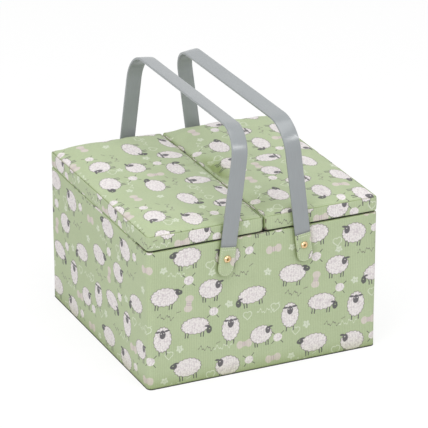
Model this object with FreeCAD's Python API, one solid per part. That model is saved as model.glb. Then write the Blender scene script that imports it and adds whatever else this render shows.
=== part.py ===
import FreeCAD, Part
import math
import os

# Twin-lid sewing box, covered in cloth, with two lift-out trays and two hooped handles.
# Millimetres. Origin at the bottom centre of the box; +X to the right along the front, +Y from
# the front to the back, +Z up. Each lid is hinged by its cloth along an outer side and meets the
# other lid at the middle of the box.

V = FreeCAD.Vector

# ---- overall sizes ----
box_width = 300.0
box_depth = 300.0
body_height = 176.0
corner_radius = 6.0

# ---- boards and cloth ----
cloth = 0.8
wall_board = 3.0
base_board_thickness = 3.0
liner_board = 4.0
floor_pad = 2.5
rim_cloth = 0.7

# ---- lids ----
lid_gap = 1.5
split_gap = 1.5
lid_band_height = 17.2
lid_pad_crown = 5.3
lid_pad_roll = 5.0
lid_board_thickness = 2.5
lid_board_depth_below_seam = 5.0
lid_frame_board = 3.0
lid_lining_thickness = 0.8
split_corner_radius = 3.0
hinge_axis_proud = 0.3
hinge_slit = 33.0
hinge_fold_height = 0.6

# ---- inside of the lids ----
pincushion_length = 90.0
pincushion_width = 60.0
pincushion_thickness = 9.0
pocket_length = 220.0
pocket_width = 95.0
pocket_depth = 7.0
pocket_cloth = 0.8
elastic_width = 8.0
elastic_thickness = 1.0

# ---- handles ----
rivet_below_rim = 23.0
rivet_offset = 50.0
handle_reach = 157.5
handle_bend_radius = 36.0
handle_lean = 7.2
strap_width = 20.0
strap_thickness = 3.2
core_width = 12.0
core_thickness = 1.0
tab_top = 15.0
tab_bottom = 22.0

# ---- rivets ----
rivet_radius = 2.0
rivet_bore = 1.2
rivet_head_radius = 4.4
rivet_head_height = 1.8
rivet_clearance = 0.05
spacer_radius = 5.0
spacer_thickness = 1.5
washer_radius = 5.5
washer_thickness = 0.8
side_clearance = 0.1
clinch_radius = 3.2
clinch_height = 1.0

# ---- trays ----
tray_rim_below_body = 11.0
tray_height = 42.0
tray_wall = 1.8
tray_flange = 1.8
tray_draft = 2.0
tray_corner = 8.0
tray_side_clearance = 1.0
tray_between = 2.0
scissor_bay = 46.0
rib_thickness = 1.6
rib_below_rim = 4.0
divider_thickness = 1.5
divider_clearance = 0.15
guide_width = 1.4
guide_depth = 1.6
notch_radius = 12.0

# ---- worked out from the above ----
rivet_height = body_height - rivet_below_rim
half_width = box_width / 2
half_depth = box_depth / 2
floor_top = cloth + base_board_thickness
board_top = body_height - cloth
board_outer_x = half_width - cloth
board_outer_y = half_depth - cloth
board_inner_x = board_outer_x - wall_board
board_inner_y = board_outer_y - wall_board
well_x = board_inner_x - liner_board
well_y = board_inner_y - liner_board
tray_top = body_height - tray_rim_below_body
ledge_height = tray_top - tray_flange
lid_bottom = body_height + lid_gap
lid_seam = lid_bottom + lid_band_height
lid_board_bottom = lid_seam - lid_board_depth_below_seam
lid_board_top = lid_board_bottom + lid_board_thickness
lid_top = lid_seam + lid_pad_crown
hinge_height = body_height + lid_gap / 2

os.makedirs("parts", exist_ok=True)


def save(name, shape):
    shape.exportStep("parts/" + name + ".step")
    solids = len(shape.Solids)
    print(name, "solids", solids, "volume", round(shape.Volume, 1), "valid", shape.isValid())


def block(x0, y0, z0, x1, y1, z1):
    corner = V(min(x0, x1), min(y0, y1), min(z0, z1))
    return Part.makeBox(abs(x1 - x0), abs(y1 - y0), abs(z1 - z0), corner)


def upright_edges(shape):
    found = []
    for edge in shape.Edges:
        first, last = edge.Vertexes[0].Point, edge.Vertexes[-1].Point
        if abs(first.x - last.x) < 1e-6 and abs(first.y - last.y) < 1e-6:
            found.append(edge)
    return found


def rounded_block(x0, y0, z0, x1, y1, z1, radius):
    plain = block(x0, y0, z0, x1, y1, z1)
    return plain.makeFillet(radius, upright_edges(plain))


def mirrored(shape):
    return shape.mirror(V(0, 0, 0), V(1, 0, 0))


def turned_about_y(shape, degrees, x, z):
    copy = shape.copy()
    copy.rotate(V(x, 0, z), V(0, 1, 0), degrees)
    return copy


# ---- the body: base, walls, cover and linings ----

def make_base():
    radius = corner_radius - cloth
    outline = rounded_block(-half_width, -half_depth, 0, half_width, half_depth, cloth, corner_radius)
    board = rounded_block(-board_outer_x, -board_outer_y, cloth, board_outer_x, board_outer_y,
                          floor_top, radius)
    save("base_cover", outline)
    save("base_board", board)


def make_walls():
    outer = rounded_block(-board_outer_x, -board_outer_y, floor_top, board_outer_x, board_outer_y,
                          board_top, corner_radius - cloth)
    inner = block(-board_inner_x, -board_inner_y, floor_top, board_inner_x, board_inner_y, board_top)
    ring = outer.cut(inner)
    front = block(-half_width, -half_depth, 0, half_width, -board_inner_y, body_height)
    back = block(-half_width, board_inner_y, 0, half_width, half_depth, body_height)
    left = block(-half_width, -board_inner_y, 0, -board_inner_x, board_inner_y, body_height)
    right = block(board_inner_x, -board_inner_y, 0, half_width, board_inner_y, body_height)
    front_board = ring.common(front)
    back_board = ring.common(back)
    for side in (-1, 1):
        front_board = front_board.cut(rivet_hole(side, -1))
        back_board = back_board.cut(rivet_hole(side, 1))
    save("front_board", front_board)
    save("back_board", back_board)
    save("left_board", ring.common(left))
    save("right_board", ring.common(right))


def make_cover():
    outer = rounded_block(-half_width, -half_depth, cloth, half_width, half_depth, body_height,
                          corner_radius)
    boards = rounded_block(-board_outer_x, -board_outer_y, cloth, board_outer_x, board_outer_y,
                           board_top, corner_radius - cloth)
    mouth = block(-board_inner_x, -board_inner_y, cloth, board_inner_x, board_inner_y, body_height)
    cover = outer.cut(boards).cut(mouth)
    for side in (-1, 1):
        for end in (-1, 1):
            cover = cover.cut(rivet_hole(side, end))
    save("outer_cover", cover)


def make_linings():
    front = block(-board_inner_x, -board_inner_y, floor_top, board_inner_x, -well_y, ledge_height)
    side = block(board_inner_x, -well_y, floor_top, well_x, well_y, ledge_height)
    back = block(-board_inner_x, well_y, floor_top, board_inner_x, board_inner_y, ledge_height)
    for hand in (-1, 1):
        front = front.cut(washer_pocket(hand, -1))
        back = back.cut(washer_pocket(hand, 1))
    save("front_liner", front)
    save("back_liner", back)
    save("right_liner", side)
    save("left_liner", mirrored(side))
    save("floor_lining", block(-well_x, -well_y, floor_top, well_x, well_y, floor_top + floor_pad))
    outer = block(-board_inner_x, -board_inner_y, ledge_height, board_inner_x, board_inner_y, board_top)
    hole = block(-board_inner_x + rim_cloth, -board_inner_y + rim_cloth, ledge_height,
                 board_inner_x - rim_cloth, board_inner_y - rim_cloth, board_top)
    save("rim_lining", outer.cut(hole))


def make_hinge_folds():
    # The strip of the cover that carries on over the gap and works as the hinge. It stops short
    # of the front corner, where the cloth is slit.
    fold = block(-half_width, -half_depth + hinge_slit, body_height, -half_width + cloth,
                 half_depth - corner_radius, body_height + hinge_fold_height)
    save("left_hinge_fold", fold)
    save("right_hinge_fold", mirrored(fold))


# ---- rivets: a tubular rivet through tab, spacer, wall and washer ----

def along_y(profile, side, end):
    # profile is a list of (radius, distance out from the box's face), turned about the rivet axis.
    x = side * rivet_offset
    points = [V(x + r, end * (half_depth + out), rivet_height) for r, out in profile]
    face = Part.Face(Part.makePolygon(points + [points[0]]))
    return face.revolve(V(x, 0, rivet_height), V(0, 1, 0), 360)


def ring_on_rivet(inner, outer, start, thickness, side, end):
    return along_y([(inner, start), (outer, start), (outer, start + thickness),
                    (inner, start + thickness)], side, end)


def rivet_hole(side, end):
    depth = cloth + wall_board
    return Part.makeCylinder(rivet_radius, depth,
                             V(side * rivet_offset, end * (half_depth - depth / 2) - depth / 2,
                               rivet_height), V(0, 1, 0))


def washer_pocket(side, end):
    depth = washer_thickness + clinch_height
    middle = half_depth - cloth - wall_board - depth / 2
    return Part.makeCylinder(washer_radius, depth,
                             V(side * rivet_offset, end * middle - depth / 2, rivet_height),
                             V(0, 1, 0))


def tab_inner_face():
    return spacer_thickness + side_clearance


def tab_outer_face():
    return tab_inner_face() + strap_thickness


def make_rivets():
    head_face = tab_outer_face() + side_clearance
    wall_inner = -(cloth + wall_board)
    washer_face = wall_inner - washer_thickness
    rim = rivet_head_height / 3
    profile = [
        (rivet_bore, washer_face - clinch_height),
        (clinch_radius, washer_face - clinch_height / 2),
        (clinch_radius, washer_face),
        (rivet_radius, washer_face),
        (rivet_radius, head_face),
        (rivet_head_radius, head_face),
        (rivet_head_radius, head_face + rim),
        (rivet_head_radius * 0.72, head_face + rivet_head_height),
        (rivet_bore * 1.5, head_face + rivet_head_height),
        (rivet_bore, head_face + rim),
    ]
    for end, end_name in ((-1, "front"), (1, "back")):
        for side, side_name in ((-1, "left"), (1, "right")):
            where = end_name + "_" + side_name
            save("rivet_" + where, along_y(profile, side, end))
            save("rivet_spacer_" + where,
                 ring_on_rivet(rivet_radius, spacer_radius, 0, spacer_thickness, side, end))
            save("rivet_washer_" + where,
                 ring_on_rivet(rivet_radius, washer_radius, washer_face, washer_thickness, side, end))


# ---- handles: a steel core in a grey sleeve, with a cloth tab riveted at each end ----

def hoop(width, inner_face, outer_face, foot):
    # An upside-down U in the plane of the handle, upright, its foot measured from the rivet axis.
    reach_out = half_depth + outer_face
    top = rivet_height + handle_reach
    start = rivet_height + foot
    thickness = outer_face - inner_face
    slab = block(-width / 2, -reach_out, start, width / 2, reach_out, top)
    hole = block(-width / 2, -reach_out + thickness, start, width / 2, reach_out - thickness,
                 top - thickness)
    outer_bends = edges_along_x(slab, top)
    inner_bends = edges_along_x(hole, top - thickness)
    slab = slab.makeFillet(handle_bend_radius, outer_bends)
    hole = hole.makeFillet(handle_bend_radius - thickness, inner_bends)
    return slab.cut(hole)


def edges_along_x(shape, height):
    found = []
    for edge in shape.Edges:
        first, last = edge.Vertexes[0].Point, edge.Vertexes[-1].Point
        level = abs(first.z - height) < 1e-6 and abs(last.z - height) < 1e-6
        if level and abs(first.y - last.y) < 1e-6:
            found.append(edge)
    return found


def core_hoop():
    # The core lies in the middle of the sleeve's thickness.
    inset = (strap_thickness - core_thickness) / 2
    reach_out = half_depth + tab_outer_face() - inset
    top = rivet_height + handle_reach - inset
    start = rivet_height - tab_bottom / 2
    radius = handle_bend_radius - inset
    slab = block(-core_width / 2, -reach_out, start, core_width / 2, reach_out, top)
    hole = block(-core_width / 2, -reach_out + core_thickness, start, core_width / 2,
                 reach_out - core_thickness, top - core_thickness)
    slab = slab.makeFillet(radius, edges_along_x(slab, top))
    hole = hole.makeFillet(radius - core_thickness, edges_along_x(hole, top - core_thickness))
    return slab.cut(hole)


def pin_gap(end):
    return Part.makeCylinder(rivet_radius + rivet_clearance, strap_thickness * 3,
                             V(0, end * (half_depth + tab_inner_face()) - strap_thickness * 1.5,
                               rivet_height), V(0, 1, 0))


def tab(end):
    near = end * (half_depth + tab_inner_face())
    far = end * (half_depth + tab_outer_face())
    half = strap_width / 2
    plate = block(-half, near, rivet_height - tab_bottom + half, half, far, rivet_height + tab_top)
    foot = Part.makeCylinder(half, strap_thickness,
                             V(0, min(near, far), rivet_height - tab_bottom + half), V(0, 1, 0))
    return plate.fuse(foot).removeSplitter().cut(pin_gap(end))


def lean(shape, side):
    # Made upright at x = 0, then moved to its rivets and leaned towards the other handle.
    copy = shape.copy()
    copy.translate(V(side * rivet_offset, 0, 0))
    return turned_about_y(copy, -side * handle_lean, side * rivet_offset, rivet_height)


def make_handles():
    core = core_hoop()
    sleeve = hoop(strap_width, tab_inner_face(), tab_outer_face(), tab_top).cut(core)
    front_tab = tab(-1).cut(core)
    back_tab = tab(1).cut(core)
    core = core.cut(pin_gap(-1)).cut(pin_gap(1))
    for side, name in ((-1, "left"), (1, "right")):
        save(name + "_handle_sleeve", lean(sleeve, side))
        save(name + "_handle_core", lean(core, side))
        save(name + "_handle_front_tab", lean(front_tab, side))
        save(name + "_handle_back_tab", lean(back_tab, side))


# ---- lids: a padded board on a shallow frame, wrapped in cloth ----

def lid_outline(z0, z1, inset):
    # The left lid's outline, drawn in by inset all round, with its corners rounded: more at the
    # box's corners than at the split.
    x0 = -half_width + inset
    x1 = -split_gap / 2 - inset
    y = half_depth - inset
    slab = block(x0, -y, z0, x1, y, z1)
    outer, inner = [], []
    for edge in upright_edges(slab):
        place = edge.Vertexes[0].Point
        if abs(place.x - x0) < 1e-6:
            outer.append(edge)
        else:
            inner.append(edge)
    slab = slab.makeFillet(corner_radius - inset, outer)
    split_edges = [e for e in upright_edges(slab) if abs(e.Vertexes[0].Point.x - x1) < 1e-6]
    return slab.makeFillet(max(split_corner_radius - inset, 0.5), split_edges)


def lid_inside(z0, z1, inset):
    x0 = -half_width + inset
    x1 = -split_gap / 2 - inset
    return block(x0, -half_depth + inset, z0, x1, half_depth - inset, z1)


def make_lid(name, place):
    frame_inset = cloth + lid_frame_board
    lining_inset = frame_inset + lid_lining_thickness
    strip_bottom = lid_bottom + cloth
    ceiling = lid_board_bottom - lid_lining_thickness
    cover = lid_outline(lid_bottom, lid_seam, 0).cut(lid_outline(strip_bottom, lid_seam, cloth))
    cover = cover.cut(lid_inside(lid_bottom, strip_bottom, frame_inset))
    strips = lid_outline(strip_bottom, lid_board_bottom, cloth)
    strips = strips.cut(lid_inside(strip_bottom, lid_board_bottom, frame_inset))
    board = lid_outline(lid_board_bottom, lid_board_top, cloth)
    lining = lid_inside(strip_bottom, lid_board_bottom, frame_inset)
    lining = lining.cut(lid_inside(strip_bottom, ceiling, lining_inset))
    save(name + "_lid_cover", place(cover))
    save(name + "_lid_frame", place(strips))
    save(name + "_lid_board", place(board))
    save(name + "_lid_lining", place(lining))
    save(name + "_lid_pad", place(make_pad()))


def make_pad():
    # Foam that fills the cover down to the board and stands up over the seam with rolled edges.
    foot = lid_outline(lid_board_top, lid_seam, cloth)
    top = lid_outline(lid_seam, lid_top, 0)
    rim = [e for e in top.Edges if all(abs(v.Point.z - lid_top) < 1e-6 for v in e.Vertexes)]
    roll = min(lid_pad_roll, lid_pad_crown - 0.2)
    softened = top.makeFillet(min(roll, split_corner_radius - 0.2), rim)
    return foot.fuse(softened).removeSplitter()


def lid_middle():
    return -(half_width + split_gap / 2) / 2


def make_pincushion():
    ceiling = lid_board_bottom - lid_lining_thickness
    x = lid_middle()
    cushion = rounded_block(x - pincushion_width / 2, -pincushion_length / 2,
                            ceiling - pincushion_thickness, x + pincushion_width / 2,
                            pincushion_length / 2, ceiling, pincushion_width / 4)
    low = ceiling - pincushion_thickness
    rim = [e for e in cushion.Edges if all(abs(v.Point.z - low) < 1e-6 for v in e.Vertexes)]
    save("pincushion", cushion.makeFillet(pincushion_thickness / 2, rim))


def make_pocket():
    # A cloth pocket on the right lid's lining, open towards the split, with elastic in its hem.
    # Its gusset is sewn to the lining on three sides and carries the panel.
    ceiling = lid_board_bottom - lid_lining_thickness
    x1 = -lid_middle() + pocket_width / 2
    x0 = x1 - pocket_width
    y = pocket_length / 2
    low = ceiling - pocket_depth
    panel_top = low + pocket_cloth
    gusset = block(x0, -y, panel_top, x1, y, ceiling)
    inside = block(x0, -y + pocket_cloth, panel_top, x1 - pocket_cloth, y - pocket_cloth, ceiling)
    save("lid_pocket_gusset", gusset.cut(inside))
    save("lid_pocket_panel", block(x0, -y, low, x1, y, panel_top))
    save("pocket_elastic", block(x0, -y, low - elastic_thickness, x0 + elastic_width, y, low))


# ---- trays: thin moulded trays that hang by their rims on the tops of the liners ----

def tray_level(z):
    # How far the drafted wall has drawn in at height z, from none just under the rim.
    return tray_draft * (tray_top - z) / tray_height


def tray_plan(z, inset):
    far = well_x - tray_side_clearance - inset - tray_level(z)
    near = tray_between / 2 + tray_overhang() + inset + tray_level(z)
    end = well_y - tray_side_clearance - inset - tray_level(z)
    return near, far, end


def tray_overhang():
    # How far the rim stands out past the wall all round, to reach onto the liners.
    return rim_reach_x() - (well_x - tray_side_clearance)


def rim_reach_x():
    return board_inner_x - rim_cloth - tray_side_clearance


def rim_reach_y():
    return board_inner_y - rim_cloth - tray_side_clearance


def rounded_wire(x0, x1, y, z, radius):
    flat = rounded_block(x0, -y, z, x1, y, z + 1, radius)
    for face in flat.Faces:
        if abs(face.CenterOfMass.z - z) < 1e-6:
            return face.OuterWire


def tray_block(z0, z1, inset):
    wires = []
    for z in (z0, z1):
        near, far, end = tray_plan(z, inset)
        wires.append(rounded_wire(near, far, end, z, tray_corner - inset))
    return Part.makeLoft(wires, True, True)


def rib_top():
    return tray_top - rib_below_rim


def tray_floor():
    return tray_top - tray_height + tray_wall


def bay_line():
    # The long rib's middle, measured from the middle of the box.
    return tray_plan(tray_floor(), tray_wall)[1] - scissor_bay - rib_thickness / 2


def cross_lines():
    end = tray_plan(tray_floor(), tray_wall)[2]
    return (-end / 3, end / 3)


def divider_lines():
    end = tray_plan(tray_floor(), tray_wall)[2]
    return (("front", -2 * end / 3), ("back", 2 * end / 3))


def divider_span():
    near = tray_plan(tray_floor(), tray_wall)[0] + divider_clearance
    far = bay_line() - rib_thickness / 2 - divider_clearance
    return near, far


def make_tray_moulding():
    shell = tray_block(tray_top - tray_height, tray_top, 0)
    hollow = tray_block(tray_floor(), tray_top, tray_wall)
    rim_near = tray_between / 2
    rim = rounded_block(rim_near, -rim_reach_y(), ledge_height, rim_reach_x(), rim_reach_y(),
                        tray_top, tray_corner)
    ribs = block(bay_line() - rib_thickness / 2, -half_depth, tray_floor(),
                 bay_line() + rib_thickness / 2, half_depth, rib_top())
    for y in cross_lines():
        ribs = ribs.fuse(block(0, y - rib_thickness / 2, tray_floor(), bay_line(),
                               y + rib_thickness / 2, rib_top()))
    ribs = ribs.fuse(divider_guides())
    tray = shell.fuse(rim).cut(hollow).fuse(ribs.common(hollow))
    # A fingertip goes through this notch and under the rim, in the gap between the two trays.
    notch_end = tray_plan(ledge_height, tray_wall)[0] + tray_draft
    notch = Part.makeCylinder(notch_radius, notch_end, V(0, 0, tray_top), V(1, 0, 0))
    return tray.cut(notch).removeSplitter()


def divider_guides():
    # Two low ribs each side of a divider's end, on the long rib and on the tray's near wall.
    slot = divider_thickness / 2 + divider_clearance
    near, far = divider_span()
    wall_face = near - divider_clearance
    rib_face = far + divider_clearance
    guides = []
    for _, y in divider_lines():
        for sign in (-1, 1):
            y0 = y + sign * slot
            y1 = y0 + sign * guide_width
            guides.append(block(wall_face - tray_draft, y0, tray_floor(), wall_face + guide_depth, y1,
                                rib_top()))
            guides.append(block(rib_face - guide_depth, y0, tray_floor(), rib_face, y1, rib_top()))
    whole = guides[0]
    for guide in guides[1:]:
        whole = whole.fuse(guide)
    return whole


def make_divider(y):
    near, far = divider_span()
    half = divider_thickness / 2
    return block(near, y - half, tray_floor(), far, y + half, rib_top() - divider_clearance)


def make_trays():
    moulding = make_tray_moulding()
    for name, place in (("right", as_made), ("left", mirrored)):
        save(name + "_tray", place(moulding))
        for where, y in divider_lines():
            save(name + "_tray_" + where + "_divider", place(make_divider(y)))


def as_made(shape):
    return shape


make_base()
make_walls()
make_cover()
make_linings()
make_hinge_folds()
make_rivets()
make_handles()
make_lid("left", as_made)
make_lid("right", mirrored)
make_pincushion()
make_pocket()
make_trays()
print("overall height", round(rivet_height + handle_reach * math.cos(math.radians(handle_lean)), 1))
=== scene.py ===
# %% [markdown]
# # A padded sewing box with two lids and lift-out trays
# The real box is grey board wrapped in printed cotton. Two padded lids hinge on the cotton itself,
# two strap handles swing on copper rivets, and moulded trays hang inside. The sizes come from the
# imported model, which is loaded first. Each cell below dresses one part of it.

import math

import bmesh
import bpy
from mathutils import Matrix, Vector, noise


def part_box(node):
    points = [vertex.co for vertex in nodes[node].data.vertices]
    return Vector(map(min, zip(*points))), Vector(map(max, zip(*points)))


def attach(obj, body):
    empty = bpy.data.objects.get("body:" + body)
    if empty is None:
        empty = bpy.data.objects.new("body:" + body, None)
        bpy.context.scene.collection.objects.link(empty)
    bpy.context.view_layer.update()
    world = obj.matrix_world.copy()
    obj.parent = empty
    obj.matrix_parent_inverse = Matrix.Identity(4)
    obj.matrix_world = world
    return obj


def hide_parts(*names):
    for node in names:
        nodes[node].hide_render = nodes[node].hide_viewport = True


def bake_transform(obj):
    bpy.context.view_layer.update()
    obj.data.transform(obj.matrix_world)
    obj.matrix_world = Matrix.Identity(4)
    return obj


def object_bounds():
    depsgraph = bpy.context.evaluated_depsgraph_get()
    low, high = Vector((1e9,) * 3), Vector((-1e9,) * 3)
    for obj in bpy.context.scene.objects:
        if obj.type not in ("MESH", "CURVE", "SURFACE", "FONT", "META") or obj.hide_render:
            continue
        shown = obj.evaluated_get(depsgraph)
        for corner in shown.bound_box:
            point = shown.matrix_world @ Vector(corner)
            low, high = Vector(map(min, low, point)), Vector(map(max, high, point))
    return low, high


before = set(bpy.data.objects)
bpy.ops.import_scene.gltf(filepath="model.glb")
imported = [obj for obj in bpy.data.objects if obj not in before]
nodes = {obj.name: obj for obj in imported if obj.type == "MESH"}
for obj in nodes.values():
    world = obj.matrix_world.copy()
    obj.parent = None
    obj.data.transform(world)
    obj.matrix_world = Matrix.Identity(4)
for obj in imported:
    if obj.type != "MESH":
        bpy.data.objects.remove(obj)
cad_box = [list(corner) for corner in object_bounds()]
mm = 0.001
print("box in millimetres", [[round(x / mm, 1) for x in corner] for corner in cad_box])

# %% [markdown]
# ## The camera
# The box is seen from a little above and from its front left corner, from far off, so its upright
# edges stay almost parallel. A long lens from three metres away gives that. A short lens close up
# would splay the corners.

# %% Camera
camera_place = Vector((-1.3705, -2.9828, 1.5261))
camera_turn = math.radians(-24.74)
camera_dip = math.radians(22.861)
camera_lens = 245.7
sensor_width = 36
clip_distance = 50

camera_data = bpy.data.cameras.new("camera")
camera_data.lens = camera_lens
camera_data.sensor_width = sensor_width
camera_data.clip_end = clip_distance
camera = bpy.data.objects.new("camera", camera_data)
camera.location = camera_place
camera.rotation_euler = (math.pi / 2 - camera_dip, 0, camera_turn)
bpy.context.scene.collection.objects.link(camera)
bpy.context.scene.camera = camera
bpy.context.scene.view_settings.view_transform = "Standard"
print("the camera stands", round(camera_place.length, 2), "m from the box")

# %% [markdown]
# ## Helpers for node recipes
# A finish is a small network of nodes. Written out in full, each network is long and hard to read,
# so a Recipe keeps one node tree and offers short calls: calc for a number, vec for a vector, mix
# for a colour. An input may be a plain value or another node's output.

# %% Node helper
class Recipe:
    """Adds nodes to one node tree and joins them."""

    def __init__(self, tree):
        self.tree = tree

    def node(self, kind, inputs=(), **settings):
        made = self.tree.nodes.new(kind)
        for name, value in settings.items():
            setattr(made, name, value)
        for place, value in dict(inputs).items():
            self.feed(made.inputs[place], value)
        return made

    def feed(self, socket, value):
        if isinstance(value, bpy.types.NodeSocket):
            self.tree.links.new(value, socket)
        else:
            socket.default_value = value

    def calc(self, operation, a, b=None, c=None, clamp=False):
        given = {i: v for i, v in enumerate((a, b, c)) if v is not None}
        return self.node("ShaderNodeMath", given, operation=operation, use_clamp=clamp).outputs[0]

    def vec(self, operation, a, b=None, c=None):
        given = {i: v for i, v in enumerate((a, b, c)) if v is not None}
        made = self.node("ShaderNodeVectorMath", given, operation=operation)
        return made.outputs["Value" if operation in ("LENGTH", "DOT_PRODUCT") else "Vector"]

    def split(self, vector):
        return self.node("ShaderNodeSeparateXYZ", {0: vector}).outputs

    def join(self, x, y, z=0.0):
        return self.node("ShaderNodeCombineXYZ", {0: x, 1: y, 2: z}).outputs[0]

    def mix(self, amount, a, b, blend="MIX"):
        made = self.node("ShaderNodeMix", data_type="RGBA", blend_type=blend)
        for place, value in ((0, amount), (6, a), (7, b)):
            self.feed(made.inputs[place], value)
        return made.outputs[2]

    def noise(self, vector, scale, detail=2.0):
        inputs = {"Vector": vector, "Scale": scale, "Detail": detail}
        return self.node("ShaderNodeTexNoise", inputs).outputs[0]

    def rescale(self, value, low, high, to_low=0.0, to_high=1.0):
        inputs = {0: value, 1: low, 2: high, 3: to_low, 4: to_high}
        return self.node("ShaderNodeMapRange", inputs).outputs[0]

    def tinted(self, colour, tint):
        """A colour made lighter or darker by a number."""
        return self.mix(1.0, colour, self.join(tint, tint, tint), "MULTIPLY")


def linear(red, green, blue):
    """A colour written as it looks, 0 to 255, turned into the linear values that shaders take."""
    def one(value):
        share = value / 255
        return share / 12.92 if share <= 0.04045 else ((share + 0.055) / 1.055) ** 2.4
    return (one(red), one(green), one(blue), 1.0)


def new_group(name, inputs, outputs):
    """An empty node group with the named sockets: (Recipe, input sockets, output sockets)."""
    tree = bpy.data.node_groups.new(name, "ShaderNodeTree")
    for socket_name, kind in inputs:
        tree.interface.new_socket(socket_name, in_out="INPUT", socket_type=kind)
    for socket_name, kind in outputs:
        tree.interface.new_socket(socket_name, in_out="OUTPUT", socket_type=kind)
    recipe = Recipe(tree)
    return recipe, recipe.node("NodeGroupInput").outputs, recipe.node("NodeGroupOutput").inputs


NUMBER, VECTOR = "NodeSocketFloat", "NodeSocketVector"
print("a middle grey of 128 is", round(linear(128, 128, 128)[0], 3), "in linear light")

# %% [markdown]
# ## The printed sheep
# The cotton is printed with a repeat of simple sheep. Nothing is painted or loaded: each sheep is
# worked out from distances. An oval's distance is negative inside and positive outside, so one
# threshold fills it and a second one draws its outline. Every motif is moved to its place in the
# repeat, and wrapping its place at the repeat's edge lets it cross the join without a cut.

# %% Distances for the print
repeat_across = 166.0
repeat_up = 142.0
ink_softness = 0.55


def oval(recipe, point, centre, size):
    """The distance from an oval's edge, in millimetres: below zero inside it."""
    away = recipe.vec("DIVIDE", recipe.vec("SUBTRACT", point, centre), size)
    ratio = recipe.calc("SUBTRACT", recipe.vec("LENGTH", away), 1.0)
    return recipe.calc("MULTIPLY", ratio, min(size[0], size[1]))


def filled(recipe, distance):
    return recipe.calc("MULTIPLY_ADD", distance, -1 / ink_softness, 0.5, clamp=True)


def drawn(recipe, distance, width):
    away = recipe.calc("ABSOLUTE", distance)
    return filled(recipe, recipe.calc("SUBTRACT", away, width / 2))


def bar(recipe, across, up, half_width, low, high):
    """The distance from an upright bar's edge, from low to high."""
    side = recipe.calc("SUBTRACT", recipe.calc("ABSOLUTE", across), half_width)
    middle = recipe.calc("SUBTRACT", up, (low + high) / 2)
    end = recipe.calc("SUBTRACT", recipe.calc("ABSOLUTE", middle), (high - low) / 2)
    return recipe.calc("MAXIMUM", side, end)


def flat_size(x, y):
    """A size with a depth so great that the third direction never counts."""
    return (x, y, 1e6)


def new_motif(name):
    """A group that turns a point in millimetres into masks: (Recipe, the point, the masks' socket)."""
    recipe, ins, outs = new_group(name, [("Point", VECTOR)], [("Masks", VECTOR)])
    return recipe, ins["Point"], outs["Masks"]


print("one repeat of the print is", repeat_across, "by", repeat_up, "mm")

# %% [markdown]
# A placed motif is looked up in its own millimetres: the cloth's point is measured from the motif's
# centre, wrapped into one repeat, turned, and mirrored if the sheep faces left.

# %% Where a motif goes
place, ins, outs = new_group(
    "placed in the repeat",
    [("Cloth", VECTOR), ("Centre", VECTOR), ("Turn", NUMBER), ("Facing", NUMBER), ("Size", NUMBER)],
    [("Point", VECTOR)])
half_repeat = (repeat_across / 2, repeat_up / 2, 1.0)
moved = place.vec("SUBTRACT", ins["Cloth"], ins["Centre"])
wrapped = place.vec("WRAP", moved, half_repeat, tuple(-x for x in half_repeat))
turned = place.node("ShaderNodeVectorRotate", {"Vector": wrapped, "Angle": ins["Turn"]},
                    rotation_type="Z_AXIS").outputs[0]
mirror = place.join(ins["Facing"], 1.0, 1.0)
sized = place.join(ins["Size"], ins["Size"], 1.0)
place.feed(outs["Point"], place.vec("DIVIDE", place.vec("MULTIPLY", turned, mirror), sized))
print("placing a motif takes", len(place.tree.nodes), "nodes")

# %% [markdown]
# A sheep is an oval fleece with a scalloped edge, a dark oval head with an ear, and thin legs in
# pairs. Folding the across direction with an absolute value draws four legs for the price of one.
# The group gives three masks in one vector: fleece, outline and dark parts. They join with other
# motifs by taking the larger value.

# %% Sheep
leg_length, leg_half_width, leg_in_fleece = 4.6, 0.7, 2.5
scallops, scallop_depth = 17.0, 0.4
outline_width = 0.75
eye_size = (0.75, 0.6)


def draw_sheep(name, body, head, head_size, ear, ear_size, eye, leg_gap, pair_gap=0.0):
    """One sheep, in millimetres from its middle. With no pair gap it faces us, with two ears."""
    recipe, point, masks = new_motif(name)
    x, y, _ = recipe.split(point)
    fleece = oval(recipe, point, (0, 0, 0), flat_size(*body))
    around = recipe.calc("ARCTAN2", recipe.calc("DIVIDE", y, body[1]),
                         recipe.calc("DIVIDE", x, body[0]))
    scallop = recipe.calc("SINE", recipe.calc("MULTIPLY", around, scallops))
    fleece = recipe.calc("MULTIPLY_ADD", scallop, scallop_depth, fleece)
    folded_point = point if pair_gap else recipe.join(recipe.calc("ABSOLUTE", x), y)
    face = oval(recipe, point, head + (0,), flat_size(*head_size))
    ears = oval(recipe, folded_point, ear + (0,), flat_size(*ear_size))
    eyes = oval(recipe, folded_point, eye + (0,), flat_size(*eye_size))
    dark = filled(recipe, recipe.calc("MINIMUM", face, ears))
    dark = recipe.calc("SUBTRACT", dark, filled(recipe, eyes), clamp=True)
    legs_at = recipe.calc("SUBTRACT", recipe.calc("ABSOLUTE", x), leg_gap)
    if pair_gap:
        legs_at = recipe.calc("SUBTRACT", recipe.calc("ABSOLUTE", legs_at), pair_gap)
    belly = -body[1]
    legs = bar(recipe, legs_at, y, leg_half_width, belly - leg_length, belly + leg_in_fleece)
    legs = recipe.calc("MULTIPLY", filled(recipe, legs), recipe.calc("GREATER_THAN", fleece, 0.0))
    edge = drawn(recipe, fleece, outline_width)
    dark_parts = recipe.calc("MAXIMUM", dark, legs)
    recipe.feed(masks, recipe.join(filled(recipe, fleece), edge, dark_parts))


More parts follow.
